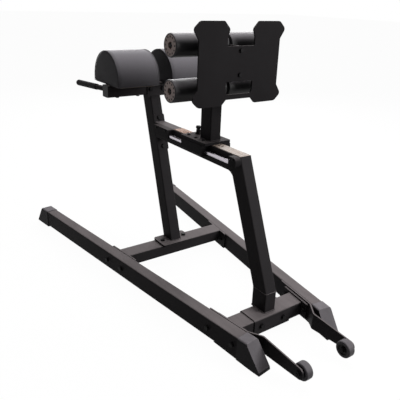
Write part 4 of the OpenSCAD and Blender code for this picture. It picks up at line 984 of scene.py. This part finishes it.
frame_beads = [
    bead(level_ring(stub_x, mast_y, stub_foot_z)),
    bead(level_ring(stub_x, mast_y, saddle_high[2]), TOP_BEAD),
    bead(level_ring(front_foot_x, mast_y, front_foot_z)),
    bead(mitre_ring(), MITRE_BEAD, MITRE_AXIS),
]
carriage_beads = [bead(level_ring((post_low[0], post_high[0]), post_high[1], plate_high[2]))]
show("frame_welds", *join(frame_beads), "frame_black", "frame")
show("carriage_welds", *join(carriage_beads), "carriage_black", "carriage")
print("weld beads:", len(frame_beads) + len(carriage_beads))

# %% [markdown]
# ## Numbers beside the pin holes
#
# A plain number at each pin hole makes a setting easy to find again. Numbers are text, and text
# is a curve, so each is turned into a mesh before it is put in its place.

# %% Print the numbers
PIN_PITCH = 0.020
HOLES = range(-8, 6)
NUMBER_SIZE = 0.008
NUMBER_Y = 0.0145
INK = 0.00005


def number_mesh(value):
    """A thin solid number, centred on the origin and readable from above."""
    text = bpy.data.curves.new("number", "FONT")
    text.body = str(value)
    text.size = NUMBER_SIZE
    text.align_x = "CENTER"
    text.align_y = "CENTER"
    text.extrude = INK
    text.resolution_u = 3
    holder = bpy.data.objects.new("number", text)
    scene.collection.objects.link(holder)
    mesh = baked(holder)
    mesh.calc_loop_triangles()
    triangles = np.array([t.vertices[:] for t in mesh.loop_triangles])
    points = points_of(mesh)
    bpy.data.objects.remove(holder)
    return np.stack([points[:, 1], -points[:, 0], points[:, 2]], -1), triangles


pin_low, pin_high = corners_of("pull_pin")
_, strip_high = corners_of("scale_strip")
pin_x = (pin_low[0] + pin_high[0]) / 2
numbers = []
for hole in HOLES:
    points, triangles = number_mesh(hole - HOLES[0] + 1)
    place = [pin_x + hole * PIN_PITCH, NUMBER_Y, strip_high[2] + INK]
    numbers.append((points + place, triangles))
show("strip_numbers", *join(numbers), "plastic_black", "frame")
print("numbers:", len(numbers))

# %% [markdown]
# ## Studio
#
# A white floor fades into a white background. The camera and reflections find white there, while
# the light that falls on the machine stays at a plain level, so a colour renders about as it is
# written. The floor mixes a glow into its own colour, and keeps a tenth of that colour for the
# camera, which is enough for the machine's shadow.

# %% Lay the floor and the background
FLOOR_REACH = 30
FLOOR_GLOW = 1.08
GLOW_SHARE = 0.9
WORLD_LIGHT = 0.07

floor_corners = FLOOR_REACH * np.array([[-1, -1, 0], [1, -1, 0], [1, 1, 0], [-1, 1, 0]], float)
floor_mesh = fill_mesh("floor", floor_corners, np.array([[0, 1, 2, 3]]))
floor = bpy.data.objects.new("floor", floor_mesh)
scene.collection.objects.link(floor)
white_floor = Finish("white_floor", Roughness=0.9, Specular_IOR_Level=0.0)
white_floor.colour((0.3, 0.3, 0.3, 1))
glow = white_floor.node("ShaderNodeEmission", inputs={"Strength": FLOOR_GLOW})
surface = Signal(white_floor, white_floor.shader.outputs[0])
mixed = white_floor.node("ShaderNodeMixShader",
                         inputs={0: white_floor.finds_white() * GLOW_SHARE, 1: surface, 2: glow})
white_floor.feed(white_floor.tree.nodes["Material Output"].inputs[0], mixed)
floor_mesh.materials.append(white_floor.material)

world = bpy.data.worlds.new("studio")
scene.world = world
world.use_nodes = True
sky = Network(world.node_tree)
backdrop = sky.tree.nodes["Background"]
backdrop.inputs["Color"].default_value = (1, 1, 1, 1)
level = sky.node("ShaderNodeMapRange",
                 inputs={"Value": sky.finds_white(), "To Min": WORLD_LIGHT, "To Max": 1.0})
sky.feed(backdrop.inputs["Strength"], level)
print("floor and background are white, and the world's light is", WORLD_LIGHT)

# %% [markdown]
# Three soft lamps light the machine: one overhead, a smaller and lower one behind it on the right,
# and the widest high in front, which draws a rim of light along the tubes and the rollers.


# %% Hang the lamps
def lamp(name, place, aim, size, power):
    """A square soft lamp at a place, turned to face a point."""
    light = bpy.data.lights.new(name, "AREA")
    light.size = size
    light.energy = power
    holder = bpy.data.objects.new(name, light)
    holder.location = place
    away = np.array(place, float) - np.array(aim, float)
    yaw = np.arctan2(away[1], away[0])
    tilt = np.arctan2(np.hypot(away[0], away[1]), away[2])
    holder.rotation_euler = Euler((0, tilt, yaw), "XYZ")
    holder.visible_camera = False
    scene.collection.objects.link(holder)


lamp("overhead", place=(-0.3, -0.4, 3.2), aim=(0, 0, 0.4), size=2.4, power=60)
lamp("behind", place=(-2.94, -1.94, 1.59), aim=(0, 0, 0.6), size=1.4, power=95)
lamp("rim", place=(2.60, -2.00, 2.60), aim=(0, 0, 0.6), size=3.0, power=120)
scene.view_settings.view_transform = "Standard"
print("lamps:", len(bpy.data.lights))

# %% [markdown]
# ## Finish
#
